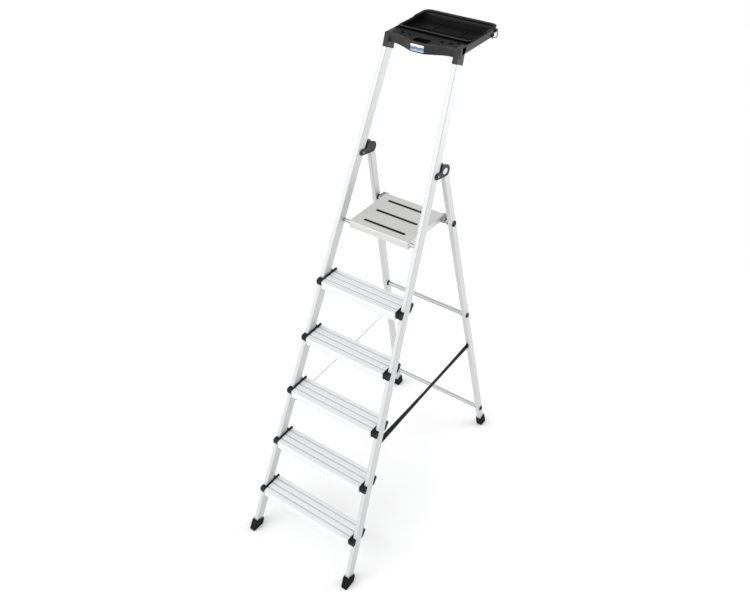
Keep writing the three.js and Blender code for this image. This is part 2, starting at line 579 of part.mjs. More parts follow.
// The strap is a band between its anchors, narrower here than the webbing because the webbing twists.
const strap = (side) => {
  const a = frontAnchorCentre(side);
  const b = rearAnchorCentre(side);
  const half = (STRAP.width * STRAP.seen) / 2;
  // The anchors lean and the strap's ends are upright, so each end keeps clear at its nearer corner.
  const inset = (lean) => ANCHOR.depth / 2 / Math.cos(lean) + half * Math.tan(lean) + 2 * GAP;
  const from = a.clone().setY(a.y + inset(FRONT_LEAN));
  const to = b.clone().setY(b.y - inset(REAR_LEAN));
  const length = from.distanceTo(to);
  const along = to.clone().sub(from).normalize();
  const up = new THREE.Vector3(0, 0, 1);
  const across = new THREE.Vector3().crossVectors(along, up).normalize();
  const turn = new THREE.Matrix4().makeBasis(across, along, new THREE.Vector3().crossVectors(across, along));
  const middle = from.clone().add(to).multiplyScalar(0.5);
  return new THREE.BoxGeometry(STRAP.thick, length, 2 * half).applyMatrix4(turn)
    .translate(middle.x, middle.y, middle.z);
};

// ---------------------------------------------------------------- assembly
for (const [name, side] of SIDES) {
  add(`front_stile_${name}`, stile(side), ALUMINIUM);
  add(`front_foot_${name}`, frontFoot(side), RUBBER);
  add(`hinge_bracket_${name}`, hingeBracket(side), BLACK_PLASTIC);
  add(`hinge_pin_${name}`, hingePin(side), STEEL);
  add(`bracket_rivet_${name}`, bracketRivet(side), STEEL);
  add(`bracket_insert_${name}`, bracketInsert(side), GREY_PLASTIC);
  add(`rear_leg_${name}`, rearLeg(side), ALUMINIUM);
  add(`rear_foot_${name}`, rearFoot(side), RUBBER);
  add(`crossbar_plug_upper_${name}`, endPlug(side, BAR.diameter, BAR.wall, BAR.upper), BLACK_PLASTIC);
  add(`crossbar_plug_lower_${name}`, endPlug(side, BAR.diameter, BAR.wall, BAR.lower), BLACK_PLASTIC);
  add(`platform_rod_plug_${name}`, endPlug(side, ROD.diameter, ROD.wall, ROD.along), BLACK_PLASTIC);
  add(`platform_hook_${name}`, platformHook(side), BLACK_PLASTIC);
  add(`platform_pin_${name}`, platformPin(side), STEEL);
  add(`strap_${name}`, strap(side), WEBBING);
  const frontAnchor = strapAnchor(frontAnchorCentre(side), ANCHOR.front, -FRONT_LEAN);
  const rearAnchor = strapAnchor(rearAnchorCentre(side), ANCHOR.rear, REAR_LEAN);
  add(`strap_anchor_front_${name}`, frontAnchor, BLACK_PLASTIC);
  add(`strap_anchor_rear_${name}`, rearAnchor, BLACK_PLASTIC);
}
for (let i = 0; i < TREAD_COUNT; i++) {
  add(`tread_${i + 1}`, tread(treadTop(i)), TREAD_METAL);
  for (const [name, side] of SIDES)
    add(`tread_cap_${i + 1}_${name}`, treadCap(side, treadTop(i)), BLACK_PLASTIC);
}
add("rear_crossbar_upper", rearBar(BAR.diameter, BAR.wall, BAR.upper), BAR_METAL);
add("rear_crossbar_lower", rearBar(BAR.diameter, BAR.wall, BAR.lower), BAR_METAL);
add("platform_rod", rearBar(ROD.diameter, ROD.wall, ROD.along), BAR_METAL);
add("platform_plate", platformPlate(), ALUMINIUM);
for (let i = 0; i < STRIP.count; i++) add(`anti_slip_strip_${i + 1}`, antiSlipStrip(i), RUBBER);
add("top_bow", topBow(), BLACK_PLASTIC);
add("tool_tray", toolTray(), BLACK_PLASTIC);
add("bucket_hook", bucketHook(), STEEL);
add("label", label(), LABEL_FILM);

// The origin goes to the floor, under the middle of the ladder.
const bounds = new THREE.Box3().setFromObject(ladder);
ladder.position.set(0, -(bounds.min.y + bounds.max.y) / 2, 0);

export default ladder;
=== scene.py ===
# %% [markdown]
# An aluminium step ladder: two leaning stiles with ribbed treads, a folding platform, a hinged rear frame
# and a moulded bow with a tool tray on top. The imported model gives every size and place. This script makes
# the finer surfaces and finishes around it, one kind of piece at a time.

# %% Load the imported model
import json
import math

import bmesh
import bpy
import numpy as np
from mathutils import Matrix, Vector
from mathutils.geometry import tessellate_polygon

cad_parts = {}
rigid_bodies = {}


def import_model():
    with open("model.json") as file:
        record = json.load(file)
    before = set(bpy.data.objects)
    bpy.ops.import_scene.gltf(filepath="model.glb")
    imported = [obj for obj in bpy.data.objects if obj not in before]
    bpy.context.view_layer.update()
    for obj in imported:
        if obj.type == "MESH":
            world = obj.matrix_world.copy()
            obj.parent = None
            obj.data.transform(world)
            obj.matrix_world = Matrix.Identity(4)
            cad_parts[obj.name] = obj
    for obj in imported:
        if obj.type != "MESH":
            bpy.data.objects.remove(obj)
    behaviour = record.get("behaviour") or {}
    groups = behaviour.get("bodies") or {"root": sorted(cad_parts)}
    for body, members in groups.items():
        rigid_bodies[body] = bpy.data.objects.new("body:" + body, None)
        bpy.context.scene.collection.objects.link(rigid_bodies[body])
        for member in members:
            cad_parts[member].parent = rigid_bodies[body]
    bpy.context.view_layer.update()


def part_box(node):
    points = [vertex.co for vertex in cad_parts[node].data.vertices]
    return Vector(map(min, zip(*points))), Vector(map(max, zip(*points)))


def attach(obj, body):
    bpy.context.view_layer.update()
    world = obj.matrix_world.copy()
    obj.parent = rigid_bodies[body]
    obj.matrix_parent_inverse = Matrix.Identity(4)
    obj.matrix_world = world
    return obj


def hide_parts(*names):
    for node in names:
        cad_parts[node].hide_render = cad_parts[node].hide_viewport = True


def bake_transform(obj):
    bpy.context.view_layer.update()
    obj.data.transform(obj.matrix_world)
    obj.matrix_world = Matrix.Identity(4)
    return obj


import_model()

# %% [markdown]
# The ladder is easiest to build in leaning coordinates. In a stile's own axes, X runs across it, Y is the
# distance behind its centre line and Z climbs along it, so every section is a plain rounded rectangle. The
# same holds for a rear leg. The frames start from the hinge pins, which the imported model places.

# %% Leaning frames, in millimetres
MM = 0.001
FRONT_LEAN = math.radians(24)
REAR_LEAN = math.radians(12.8)
FRONT_SPLAY = 0.0521  # half width lost for each millimetre along a stile
REAR_SPLAY = 0.0546
FOOT_HALF_WIDTH = 253.8
PIVOT_ALONG, PIVOT_BEHIND = 1748, 68
SIDES = {"left": -1, "right": 1}


def low_high(node):
    """A node's lowest and highest corners in millimetres."""
    return np.array(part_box(node)) / MM


def middle(node):
    return low_high(node).mean(axis=0)


def turn(angle, axis):
    return np.array(Matrix.Rotation(angle, 4, axis))


def shift(x, y, z):
    moved = np.eye(4)
    moved[:3, 3] = x, y, z
    return moved


_, hinge_y, hinge_z = middle("hinge_pin_left")
stile_foot_y = hinge_y - PIVOT_BEHIND * math.cos(FRONT_LEAN) - PIVOT_ALONG * math.sin(FRONT_LEAN)
leg_foot_y = hinge_y + hinge_z * math.tan(REAR_LEAN)
leg_length = hinge_z / math.cos(REAR_LEAN)
front_plane = shift(0, stile_foot_y, 0) @ turn(-FRONT_LEAN, "X")
rear_plane = shift(0, leg_foot_y, 0) @ turn(REAR_LEAN, "X")


def stile_x(along):
    return FOOT_HALF_WIDTH - FRONT_SPLAY * along


def leg_x(along):
    return stile_x(PIVOT_ALONG) + REAR_SPLAY * (leg_length - along)


def stile_frame(side):
    return front_plane @ shift(side * FOOT_HALF_WIDTH, 0, 0) @ turn(-side * math.atan(FRONT_SPLAY), "Y")


def leg_frame(side):
    return rear_plane @ shift(side * leg_x(0), 0, 0) @ turn(-side * math.atan(REAR_SPLAY), "Y")


def bracket_frame(side):
    """The front plane's axes, turned with the stile about the height of the hinge."""
    return (front_plane @ shift(side * stile_x(PIVOT_ALONG), 0, PIVOT_ALONG)
            @ turn(-side * math.atan(FRONT_SPLAY), "Y") @ shift(0, 0, -PIVOT_ALONG))


print("stile foot y, leg foot y, leg length:", round(stile_foot_y), round(leg_foot_y), round(leg_length))

# %% [markdown]
# Nearly everything here is extruded, folded or moulded, so one idea makes most pieces: an outline is carried
# from one end to the other, and close to each end it draws in along a quarter circle, which leaves a softly
# broken edge that catches the light. The outline itself has arcs at its corners.

# %% Outlines
def outline(corners, radius, steps=5):
    """A closed outline with each corner rounded by an arc that touches both sides.

    The arc starts and ends at radius * tan(turn / 2) from the corner, and a short side limits it.
    """
    corners = np.asarray(corners, float)
    radii = np.broadcast_to(radius, len(corners))
    points = []
    neighbours = zip(np.roll(corners, 1, 0), corners, np.roll(corners, -1, 0), radii)
    for before, corner, after, wanted in neighbours:
        back, ahead = before - corner, after - corner
        to_back, to_ahead = back / np.linalg.norm(back), ahead / np.linalg.norm(ahead)
        opening = math.acos(np.clip(to_back @ to_ahead, -1, 1))
        longest = 0.49 * min(np.linalg.norm(back), np.linalg.norm(ahead))
        reach = min(wanted / math.tan(opening / 2), longest)
        if reach < 0.01 or opening > math.pi - 0.02:
            points.append(corner[None])
            continue
        inward = to_back + to_ahead
        centre = corner + inward / np.linalg.norm(inward) * reach / math.cos(opening / 2)
        start, end = corner + to_back * reach - centre, corner + to_ahead * reach - centre
        share = np.linspace(0, 1, steps + 1)[:, None]
        arc = start * (1 - share) + end * share
        points.append(centre + arc / np.linalg.norm(arc, axis=1, keepdims=True) * np.linalg.norm(start))
    return np.concatenate(points)


def rectangle(x0, x1, y0, y1, radius, steps=5):
    return outline([(x0, y0), (x1, y0), (x1, y1), (x0, y1)], radius, steps)


def circle(x, y, radius, count=24):
    angle = np.linspace(0, 2 * np.pi, count, endpoint=False)
    return np.stack([x + radius * np.cos(angle), y + radius * np.sin(angle)], 1)


def inset(loop, distance):
    """Each point moves inward by distance, along the mitre of its two sides' normals."""
    along = np.roll(loop, -1, 0) - loop
    along /= np.linalg.norm(along, axis=1, keepdims=True)
    normal = np.stack([-along[:, 1], along[:, 0]], 1)
    before = np.roll(normal, 1, 0)
    mitre = (normal + before) / (1 + (normal * before).sum(1, keepdims=True)).clip(0.2)
    return loop + distance * mitre


def evenly(loop, count):
    """The closed loop again, as points at equal distances along it."""
    closed = np.vstack([loop, loop[:1]])
    walked = np.append(0, np.cumsum(np.linalg.norm(np.diff(closed, axis=0), axis=1)))
    at = np.linspace(0, walked[-1], count, endpoint=False)
    return np.stack([np.interp(at, walked, closed[:, i]) for i in (0, 1)], 1)


print("a rounded rectangle has", len(rectangle(0, 20, 0, 10, 2)), "points, a circle", len(circle(0, 0, 5)))

# %% [markdown]
# A surface is a stack of rings with the same number of points, and quads join each ring to the next. The
# rings alone set the shape: a straight body, a turned one and a folded sheet differ only in their rings.

# %% Surfaces from rings
def skin(rings, first=0, caps=True):
    """Quads between neighbouring rings, and one face over each end ring."""
    rows, around = rings.shape[:2]
    i, j = np.meshgrid(np.arange(rows - 1), np.arange(around), indexing="ij")
    a = first + i * around + j
    b = first + i * around + (j + 1) % around
    faces = np.stack([a, b, b + around, a + around], -1).reshape(-1, 4).tolist()
    if caps:
        faces += [list(range(first + around - 1, first - 1, -1)),
                  list(range(first + (rows - 1) * around, first + rows * around))]
    return faces


def edge_rows(low, high, edge, steps=3):
    """Pairs of inset and height for a body from low to high with quarter-circle edges."""
    a = np.linspace(0, np.pi / 2, steps + 1)
    draw, drop = edge * (1 - np.cos(a)), edge * (1 - np.sin(a))
    return list(zip(draw[::-1], low + drop[::-1])) + list(zip(draw, high - drop))


def solid(loop, low, high, edge=1.0, holes=()):
    """An outline, with holes, carried along its third axis; returns points and faces."""
    rows = edge_rows(low, high, edge)
    points, faces, ends = [], [], ([], [])
    for path in (loop, *(hole[::-1] for hole in holes)):
        rings = np.array([np.column_stack([inset(path, d), np.full(len(path), h)]) for d, h in rows])
        first = sum(map(len, points))
        faces += skin(rings, first, caps=False)
        points.append(rings.reshape(-1, 3))
        around = len(path)
        ends[0].append((first, rings[0]))
        ends[1].append((first + (len(rows) - 1) * around, rings[-1]))
    for end in ends:
        index = np.concatenate([first + np.arange(len(ring)) for first, ring in end])
        for triangle in tessellate_polygon([[Vector(p) for p in ring] for _, ring in end]):
            faces.append(index[list(triangle)].tolist())
    return np.concatenate(points), faces


def turned(profile, segments=32):
    """A profile of radius and height turned about the third axis; it starts and ends on the axis."""
    profile = np.asarray(profile, float)
    angle = np.linspace(0, 2 * np.pi, segments, endpoint=False)
    radius, height = profile[:, :1], np.repeat(profile[:, 1:], segments, 1)
    rings = np.stack([radius * np.cos(angle), radius * np.sin(angle), height], -1)
    return rings.reshape(-1, 3), skin(rings, caps=False)


def along_x(shape):
    """Turns a shape so that its outline lies in the Y-Z plane and it runs along X."""
    points, faces = shape
    return points[:, [2, 0, 1]], faces


def merged(*shapes):
    """Several shells of one moulding as one set of points and faces."""
    points, faces, first = [], [], 0
    for shell_points, shell_faces in shapes:
        points.append(shell_points)
        faces += [[first + k for k in face] for face in shell_faces]
        first += len(shell_points)
    return np.concatenate(points), faces


sample_points, sample_faces = solid(rectangle(0, 20, 0, 10, 2), 0, 5)
print("a block with soft edges:", len(sample_points), "points and", len(sample_faces), "faces")

# %% [markdown]
# Each piece rides one rigid body, but a strap rides none. Each has a material slot and hides the solid of
# the imported model that it stands in for. Meshes are made where they belong, so object coordinates are the
# ladder's own and finishes can use real heights. Doubled points are merged, and only edges sharper than 50
# degrees stay sharp.

# %% Pieces in the scene
def added(made):
    bpy.context.scene.collection.objects.link(made)
    return made


def piece(name, shape, body, finish, replaces=(), matrix=None, bevelled=True):
    """Makes the mesh in metres at its place, and ties it to its body; without a body it stays untied."""
    points, faces = shape
    if matrix is not None:
        points = points @ matrix[:3, :3].T + matrix[:3, 3]
    mesh = bpy.data.meshes.new(name)
    mesh.from_pydata((points * MM).tolist(), [], faces)
    tidy = bmesh.new()
    tidy.from_mesh(mesh)
    bmesh.ops.remove_doubles(tidy, verts=tidy.verts, dist=1e-6)
    bmesh.ops.recalc_face_normals(tidy, faces=tidy.faces)
    tidy.to_mesh(mesh)
    tidy.free()
    mesh.polygons.foreach_set("use_smooth", [True] * len(mesh.polygons))
    mesh.set_sharp_from_angle(angle=math.radians(50))
    mesh.materials.append(finish)
    made = added(bpy.data.objects.new(name, mesh))
    if bevelled:
        made.modifiers.new("flat faces stay flat", "WEIGHTED_NORMAL").keep_sharp = True
    if body:
        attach(made, body)
    if replaces:
        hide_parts(*([replaces] if isinstance(replaces, str) else replaces))
    return made


def own_uv(made, name, per_point):
    """A UV map from one pair of numbers for each of the mesh's points."""
    corners = np.empty(len(made.data.loops), int)
    made.data.loops.foreach_get("vertex_index", corners)
    layer = made.data.uv_layers.new(name=name)
    layer.data.foreach_set("uv", np.asarray(per_point, float)[corners].ravel())


def measured(*kinds):
    """Prints how many pieces of each kind there are, and the size of the first in millimetres."""
    for kind in kinds:
        found = [made for made in bpy.context.scene.objects if made.name.startswith(kind)]
        points = np.array([vertex.co for vertex in found[0].data.vertices])
        print(f"{kind}: {len(found)}, the first is", (np.ptp(points, axis=0) / MM).round(1).tolist())


# %% [markdown]
# Finishes are made from shader nodes. Writing the arithmetic as Python expressions keeps a recipe readable:
# a Wire wraps one socket, and adding or multiplying two of them adds a Math node.

# %% Shader arithmetic
class Wire:
    """One output socket of a finish, with Python's operators."""

    def __init__(self, finish, socket):
        self.finish, self.socket = finish, socket

    def math(self, operation, *values):
        return self.finish.node("Math", {"operation": operation}, dict(enumerate(values)))

    def __add__(self, other):
        return self.math("ADD", self, other)

    def __sub__(self, other):
        return self.math("SUBTRACT", self, other)

    def __rsub__(self, other):
        return self.math("SUBTRACT", other, self)

    def __mul__(self, other):
        return self.math("MULTIPLY", self, other)

    __radd__, __rmul__ = __add__, __mul__


class Finish:
    """A material under construction: its nodes, its patterns and its one Principled shader."""

    def __init__(self, name, roughness, metallic=0.0, **fixed):
        self.material = bpy.data.materials.new(name)
        self.material.use_nodes = True
        self.tree = self.material.node_tree
        self.shader = next(n for n in self.tree.nodes if n.type == "BSDF_PRINCIPLED")
        self.set(Roughness=roughness, Metallic=metallic, **fixed)
        self.place = self.node("TexCoord", output="Object")

    def node(self, kind, settings=None, inputs=None, output=0):
        made = self.tree.nodes.new("ShaderNode" + kind)
        for key, value in (settings or {}).items():
            setattr(made, key, value)
        for key, value in (inputs or {}).items():
            self.feed(made.inputs[key], value)
        return Wire(self, made.outputs[output])

    def feed(self, socket, value):
        if isinstance(value, Wire):
            self.tree.links.new(value.socket, socket)
        else:
            socket.default_value = value

    def set(self, **values):
        for name, value in values.items():
            self.feed(self.shader.inputs[name.replace("_", " ")], value)

    def stretched(self, scale, lean=0.0):
        """Object coordinates turned upright from a lean about X, then scaled on each axis."""
        return self.node("Mapping", {"vector_type": "POINT"},
                         {"Vector": self.place, "Rotation": (lean, 0, 0), "Scale": scale})

    def noise(self, vector, scale=1.0, detail=3.0, rough=0.5):
        return self.node("TexNoise", None, {"Vector": vector, "Scale": scale, "Detail": detail,
                                            "Roughness": rough})

    def blend(self, factor, first, second):
        made = self.tree.nodes.new("ShaderNodeMix")
        made.data_type = "RGBA"
        self.feed(made.inputs[0], factor)
        self.feed(made.inputs[6], first)
        self.feed(made.inputs[7], second)
        return Wire(self, made.outputs[2])

    def between(self, value, low, high):
        """0 below low, 1 above high, and smooth between them."""
        return self.node("MapRange", {"interpolation_type": "SMOOTHSTEP"},
                         {"Value": value, "From Min": low, "From Max": high})

    def bump(self, height, distance, strength=1.0):
        self.set(Normal=self.node("Bump", None, {"Height": height, "Distance": distance,
                                                 "Strength": strength}))


def shade(value, tint=(1, 1, 1)):
    """A linear colour from a display grey between 0 and 255, with a slight tint."""
    level = value / 255
    linear = ((level + 0.055) / 1.055) ** 2.4
    return (*(linear * t for t in tint), 1.0)


print("a display grey of 128 is", round(shade(128)[0], 3), "in linear light")

# %% [markdown]
# Drawn aluminium has a soft sheen with fine lines along the direction in which the profile was pulled
# through its die. The lines are a noise that is stretched a hundredfold that way, and the leaning profiles
# turn the pattern upright first. Handling leaves broad, faint smudges that only change the roughness.

# %% Metal finishes
def aluminium(name, grey, scale, lean=0.0, roughness=0.42, metallic=0.45, tint=(0.99, 1, 1.01),
              grooved=False):
    """The drawn lines vary the grey a little; a grooved profile also gets painted shade below its top."""
    made = Finish(name, roughness, metallic)
    lines = made.noise(made.stretched(scale, lean), detail=2)
    smudge = made.noise(made.place, 9, 4)
    colour = made.blend(made.between(lines, 0.3, 0.7), shade(grey - 7, tint), shade(grey + 4, tint))
    if grooved:  # the second UV is the depth below the top, and the grooves get painted shade
        depth = made.node("SeparateXYZ", None, {0: made.node("UVMap", {"uv_map": "profile"})}, 1)
        # Painted shade: from 1.6 to 4 mm below the top, in the grooves, the grey is blended darker.
        groove_shade = made.between(depth, -0.0008, -0.0016) * made.between(depth, -0.006, -0.004)
        colour = made.blend(groove_shade * (0.7 + 0.3 * smudge), colour, shade(grey - 36, tint))
    made.set(Base_Color=colour, Roughness=roughness - 0.05 + 0.1 * smudge + 0.06 * lines)
    made.bump(lines, 0.00012, 0.5)
    return made.material


ACROSS, ALONG = 1400, 7  # pattern cells in a metre, across and along the drawn lines
stile_metal = aluminium("stile_aluminium", 206, (ACROSS, ACROSS, ALONG), FRONT_LEAN)
leg_metal = aluminium("leg_aluminium", 204, (ACROSS, ACROSS, ALONG), -REAR_LEAN)
tread_metal = aluminium("tread_aluminium", 234, (ALONG, ACROSS, ACROSS), roughness=0.5, metallic=0.35,
                        tint=(0.985, 1, 1.02), grooved=True)
sheet_metal = aluminium("platform_aluminium", 212, (ALONG, ACROSS, ACROSS), roughness=0.5, metallic=0.35,
                        tint=(1.01, 1.005, 0.985))
bar_metal = aluminium("bar_aluminium", 182, (ALONG, ACROSS, ACROSS), roughness=0.4, metallic=0.6)


def plated(name, dark, light):
    """Plated steel: a crystalline mottle in colour and gloss."""
    made = Finish(name, 0.35, 1.0)
    mottle = made.node("TexVoronoi", None, {"Vector": made.place, "Scale": 420.0}, "Distance")
    made.set(Base_Color=made.blend(mottle, shade(dark), shade(light, (0.99, 1, 1.02))),
             Roughness=0.27 + 0.2 * mottle)
    return made.material


steel = plated("zinc_plated_steel", 165, 198)
dark_steel = plated("dark_wire_steel", 58, 82)
dull_steel = plated("dull_rivet_steel", 120, 150)
black_pin = plated("black_pin_steel", 14, 26)
print("metals:", [finish.name for finish in bpy.data.materials])

# %% [markdown]
# The mouldings are charcoal polypropylene with a spark-eroded texture, which is a fine, even grain. Rubbed
# places turn lighter and smoother. Rubber is darker, and has no grain but a dusty bloom. The straps are
# woven tape, so their pattern follows the band's own UV map, and the weave is two crossed sine waves.

# %% Plastic, rubber, webbing and film
COOL = (0.98, 1, 1.04)  # the black mouldings are slightly blue


def moulding(name, dark, light, roughness, grain=2600.0, relief=0.00012, gloss=0.3, highlight_above=None):
    """Above the height given as the last argument, in metres, a painted highlight makes the colour paler."""
    made = Finish(name, roughness, Specular_IOR_Level=gloss)
    fine = made.noise(made.place, grain, 2)
    broad = made.noise(made.place, 14, 5)
    rub = made.between(broad, 0.45, 0.75)
    colour = made.blend(rub * 0.6 + 0.3 * fine, shade(dark, COOL), shade(light, COOL))
    # Painted highlight: above the given height the colour is blended towards a paler grey.
    if highlight_above:
        height = made.node("SeparateXYZ", None, {0: made.place}, 2)
        painted_highlight = made.between(height, highlight_above - 0.0015, highlight_above)
        colour = made.blend(painted_highlight * (0.5 + 0.5 * broad), colour, shade(light + 50))
    made.set(Base_Color=colour, Roughness=roughness + 0.12 * fine - 0.1 * rub)
    made.bump(fine, relief, 0.7)
    return made.material


bow_plastic = moulding("bow_plastic", 32, 52, 0.4)
# The ledge belongs to the bow's moulding; its darker plastic is painted shade, also on its pockets and
# channel.
shaded_ledge_plastic = moulding("shaded_ledge_plastic", 8, 16, 0.5, gloss=0.12)
# The tray's rim is painted paler above this height, as a painted highlight.
rim_highlight_height = middle("tool_tray")[2] * MM + 0.0155  # the height just below the tray's rim
tray_plastic = moulding("tray_plastic", 8, 18, 0.55, gloss=0.08, highlight_above=rim_highlight_height)
cap_plastic = moulding("cap_plastic", 22, 38, 0.5, gloss=0.2)
bracket_plastic = moulding("bracket_plastic", 26, 50, 0.4)
foot_rubber = moulding("foot_rubber", 16, 28, 0.75, 900.0, gloss=0.15)
strip_rubber = moulding("strip_rubber", 36, 56, 0.8, 1500.0, 0.0003, gloss=0.2)
pale_plastic = moulding("pale_plastic", 210, 222, 0.45)
hook_plastic = moulding("hook_plastic", 132, 152, 0.4)


def webbing():
    """Woven tape: one sine wave along the tape times one across it."""
    made = Finish("strap_webbing", 0.85, Specular_IOR_Level=0.2)
    uv = made.node("UVMap", {"uv_map": "weave"})
    run, across = (made.node("SeparateXYZ", None, {0: uv}, k) for k in (0, 1))
    picks, ends = 2 * math.pi / 0.0016, 2 * math.pi / 0.0022
    weft = (run * picks).math("SINE", run * picks)
    warp = (across * ends).math("SINE", across * ends)
    weave = weft * warp
    black, raised = shade(14, (1, 1, 1.05)), shade(40, (1, 1, 1.05))
    made.set(Base_Color=made.blend(made.between(weave, -0.6, 0.9), black, raised))
    made.bump(weave, 0.0004, 0.8)
    return made.material


def film():
    """A plain printed film: white with a pale blue border and two soft wavy bands, and no lettering."""
    made = Finish("label_film", 0.3, Coat_Weight=0.3)
    x, z = (made.node("SeparateXYZ", None, {0: made.place}, k) for k in (0, 2))
    level = middle("label")[2] * MM
    wave = z - level + 0.0012 * (x * 260).math("SINE", x * 260)
    band = made.between(wave.math("ABSOLUTE", wave + 0.001), 0.0062, 0.0042)
    sheet = made.blend(made.between(z - level, -0.012, 0.012), shade(183, (0.86, 1, 1.16)), shade(240))
    made.set(Base_Color=made.blend(band, sheet, shade(128, (0.5, 0.9, 1.5))))
    return made.material


strap_webbing = webbing()
label_film = film()
print("finishes:", len(bpy.data.materials))

# %% [markdown]
# Stiles and rear legs are box profiles. A ring at each station along the profile is enough, because the
# faces between are flat. A leg's top is round, so it can turn in its bracket: above the hinge its depth
# shrinks as the half chord of a circle.

# %% Stiles and rear legs
STILE_WIDTH, STILE_DEPTH, STILE_BOTTOM, STILE_TOP = 18, 42, 18, 2150
LEG_WIDTH, LEG_DEPTH, LEG_BOTTOM = 18.5, 32, 10


def box_profile(width, depth, radius, stations, depth_share=None):
    """Rings at the stations along the profile, each with its own share of the full depth."""
    loop = rectangle(-width / 2, width / 2, -depth / 2, depth / 2, radius)
    shares = np.ones(len(stations)) if depth_share is None else depth_share
    rings = [np.column_stack([loop * (1, share), np.full(len(loop), height)])
             for height, share in zip(stations, shares)]
    rings = np.array(rings)
    return rings.reshape(-1, 3), skin(rings)


for name, side in SIDES.items():
    stile = box_profile(STILE_WIDTH, STILE_DEPTH, 3.5, [STILE_BOTTOM, STILE_TOP])
    piece(f"stile_profile_{name}", stile, "front_frame", stile_metal,
          f"front_stile_{name}", stile_frame(side))
    rise = LEG_DEPTH / 2 * np.sin(np.linspace(0, 1.45, 10))
    round_top = np.sqrt(1 - (rise / (LEG_DEPTH / 2)) ** 2)
    leg = box_profile(LEG_WIDTH, LEG_DEPTH, 2.8, [LEG_BOTTOM, *(leg_length + rise)], [1, *round_top])
    piece(f"leg_profile_{name}", leg, "rear_frame", leg_metal,
          f"rear_leg_{name}", leg_frame(side))
measured("stile_profile", "leg_profile")

# %% [markdown]
# A foot is a rubber shoe. Its sole is level on the floor although the profile leans, so each point of the
# lowest ring slides along the profile until its height is right. The collar dips in a shallow V at each
# corner, which shows how the shoe wraps round the profile. Two shallow grip ribs run round it near the
# floor.

# %% Feet
def shoe(loop, frame_matrix, height, dip, room):
    """Rings from the sole up to the collar, then in to the profile that the shoe holds."""
    def slide(ring, level):
        """How far along the profile each point of the ring reaches this height."""
        flat = frame_matrix[2, 0] * ring[:, 0] + frame_matrix[2, 1] * ring[:, 1] + frame_matrix[2, 3]
        return (level - flat) / frame_matrix[2, 2]

    half = np.abs(loop).max(axis=0)
    corner = np.clip(np.abs(loop / half).min(axis=1), 0, 1) ** 3
    collar = height - dip * corner
    rings = []
    for drawn_in, level in ((2.5, 0), (0.8, 0.8), (0, 3)):
        ring = inset(loop, drawn_in)
        rings.append(np.column_stack([ring, slide(ring, level)]))
    for drawn_in, lower in ((0, 1.5), (0.5, 0.4), (1.5, 0), (room, 2)):
        rings.append(np.column_stack([inset(loop, drawn_in), collar - lower]))
    rings = np.array(rings)
    return rings.reshape(-1, 3), skin(rings)


COLLAR_DIP = 9
SHOES = {  # body, axes, outline, points round it, height of the collar, and room for the profile inside
    "front": ("front_frame", stile_frame, rectangle(-14.5, 14.5, -26, 25, 3.5, 8), 160, 47, 5.2),
    "rear": ("rear_frame", leg_frame, rectangle(-14.7, 14.7, -20, 20, 3.5, 8), 140, 56, 4.2),
}
for kind, (body, axes, loop, around, height, room) in SHOES.items():
    ribs = [solid(inset(loop, -0.5), low, low + 2.4, 0.5) for low in (18, 24)]
    for name, side in SIDES.items():
        rubber = shoe(evenly(loop, around), axes(side), height, COLLAR_DIP, room)
        piece(f"{kind}_shoe_{name}", rubber, body, foot_rubber, f"{kind}_foot_{name}", axes(side))
        piece(f"{kind}_shoe_ribs_{name}", merged(*ribs), body, foot_rubber, (), axes(side))
measured("front_shoe", "rear_shoe")

# %% [markdown]
# A tread is an extruded plate with a rounded nose and folded lips. Three broad grooves run along it between
# fields of fine anti-slip ribs. All of that is one profile, drawn as a path over the top and offset inward
# by the wall, so it costs only two rings.

# %% Treads
TREAD_FRONT, TREAD_BACK, NOSE_RADIUS, WALL = 49, 52, 9, 2.4
GROOVES = (-24.0, 5.0, 34.0)  # groove centres, behind the stile's centre line
LIP_FRONT, LIP_BACK = 36, 28
SUNK = 0.5  # the plate lies this far below the model's top, and the ribs rise from it


def tread_top_height(y):
    """Fine ribs of 0.45 mm every 3.2 mm, cut by grooves 1.6 mm deep and 8 mm wide."""
    ribs = 0.45 * (0.5 + 0.5 * np.cos(2 * np.pi * y / 3.2)) * (y > -TREAD_FRONT + 16) * (y < TREAD_BACK - 5)
    groove = sum(np.clip(1 - np.maximum(np.abs(y - g) - 3.2, 0) / 0.8, 0, 1) for g in GROOVES)
    return -SUNK + ribs * (1 - groove) - 1.6 * groove


def tread_path():
    """From the front lip's lower edge over the top to the back lip's: depth, and height from the top."""
    arc = np.linspace(np.pi, np.pi / 2, 9)
    nose_y = -TREAD_FRONT + NOSE_RADIUS * (1 + np.cos(arc))
    nose = np.stack([nose_y, NOSE_RADIUS * (np.sin(arc) - 1) - SUNK], 1)
    y = np.linspace(-TREAD_FRONT + NOSE_RADIUS + 0.4, TREAD_BACK - 3.4, 330)
    top = np.stack([y, tread_top_height(y)], 1)
    arc = np.linspace(np.pi / 2, 0, 6)
    tail = np.stack([TREAD_BACK - 3 * (1 - np.cos(arc)), 3 * (np.sin(arc) - 1) - SUNK], 1)
    bead = [(-TREAD_FRONT + 1, -LIP_FRONT), (-TREAD_FRONT, -LIP_FRONT + 1)]
    end = [(TREAD_BACK, -LIP_BACK + 1), (TREAD_BACK - 1, -LIP_BACK)]
    return np.concatenate([bead, nose, top, tail, end])


def tread_shape(half_length):
    over = tread_path()
    front, back, under = -TREAD_FRONT + WALL, TREAD_BACK - WALL, -WALL - SUNK
    inside = [(back, -LIP_BACK), (back, under - 2), (back - 2, under), (front + 5.6, under),
              (front + 1, under - 4.5), (front, -9), (front, -LIP_FRONT)]
    loop = np.concatenate([over, inside])[::-1]
    rings = np.array([np.column_stack([loop, np.full(len(loop), x)]) for x in (-half_length, half_length)])
    return rings.reshape(-1, 3), skin(rings)


def stile_y(height):
    return stile_foot_y + height * math.tan(FRONT_LEAN)


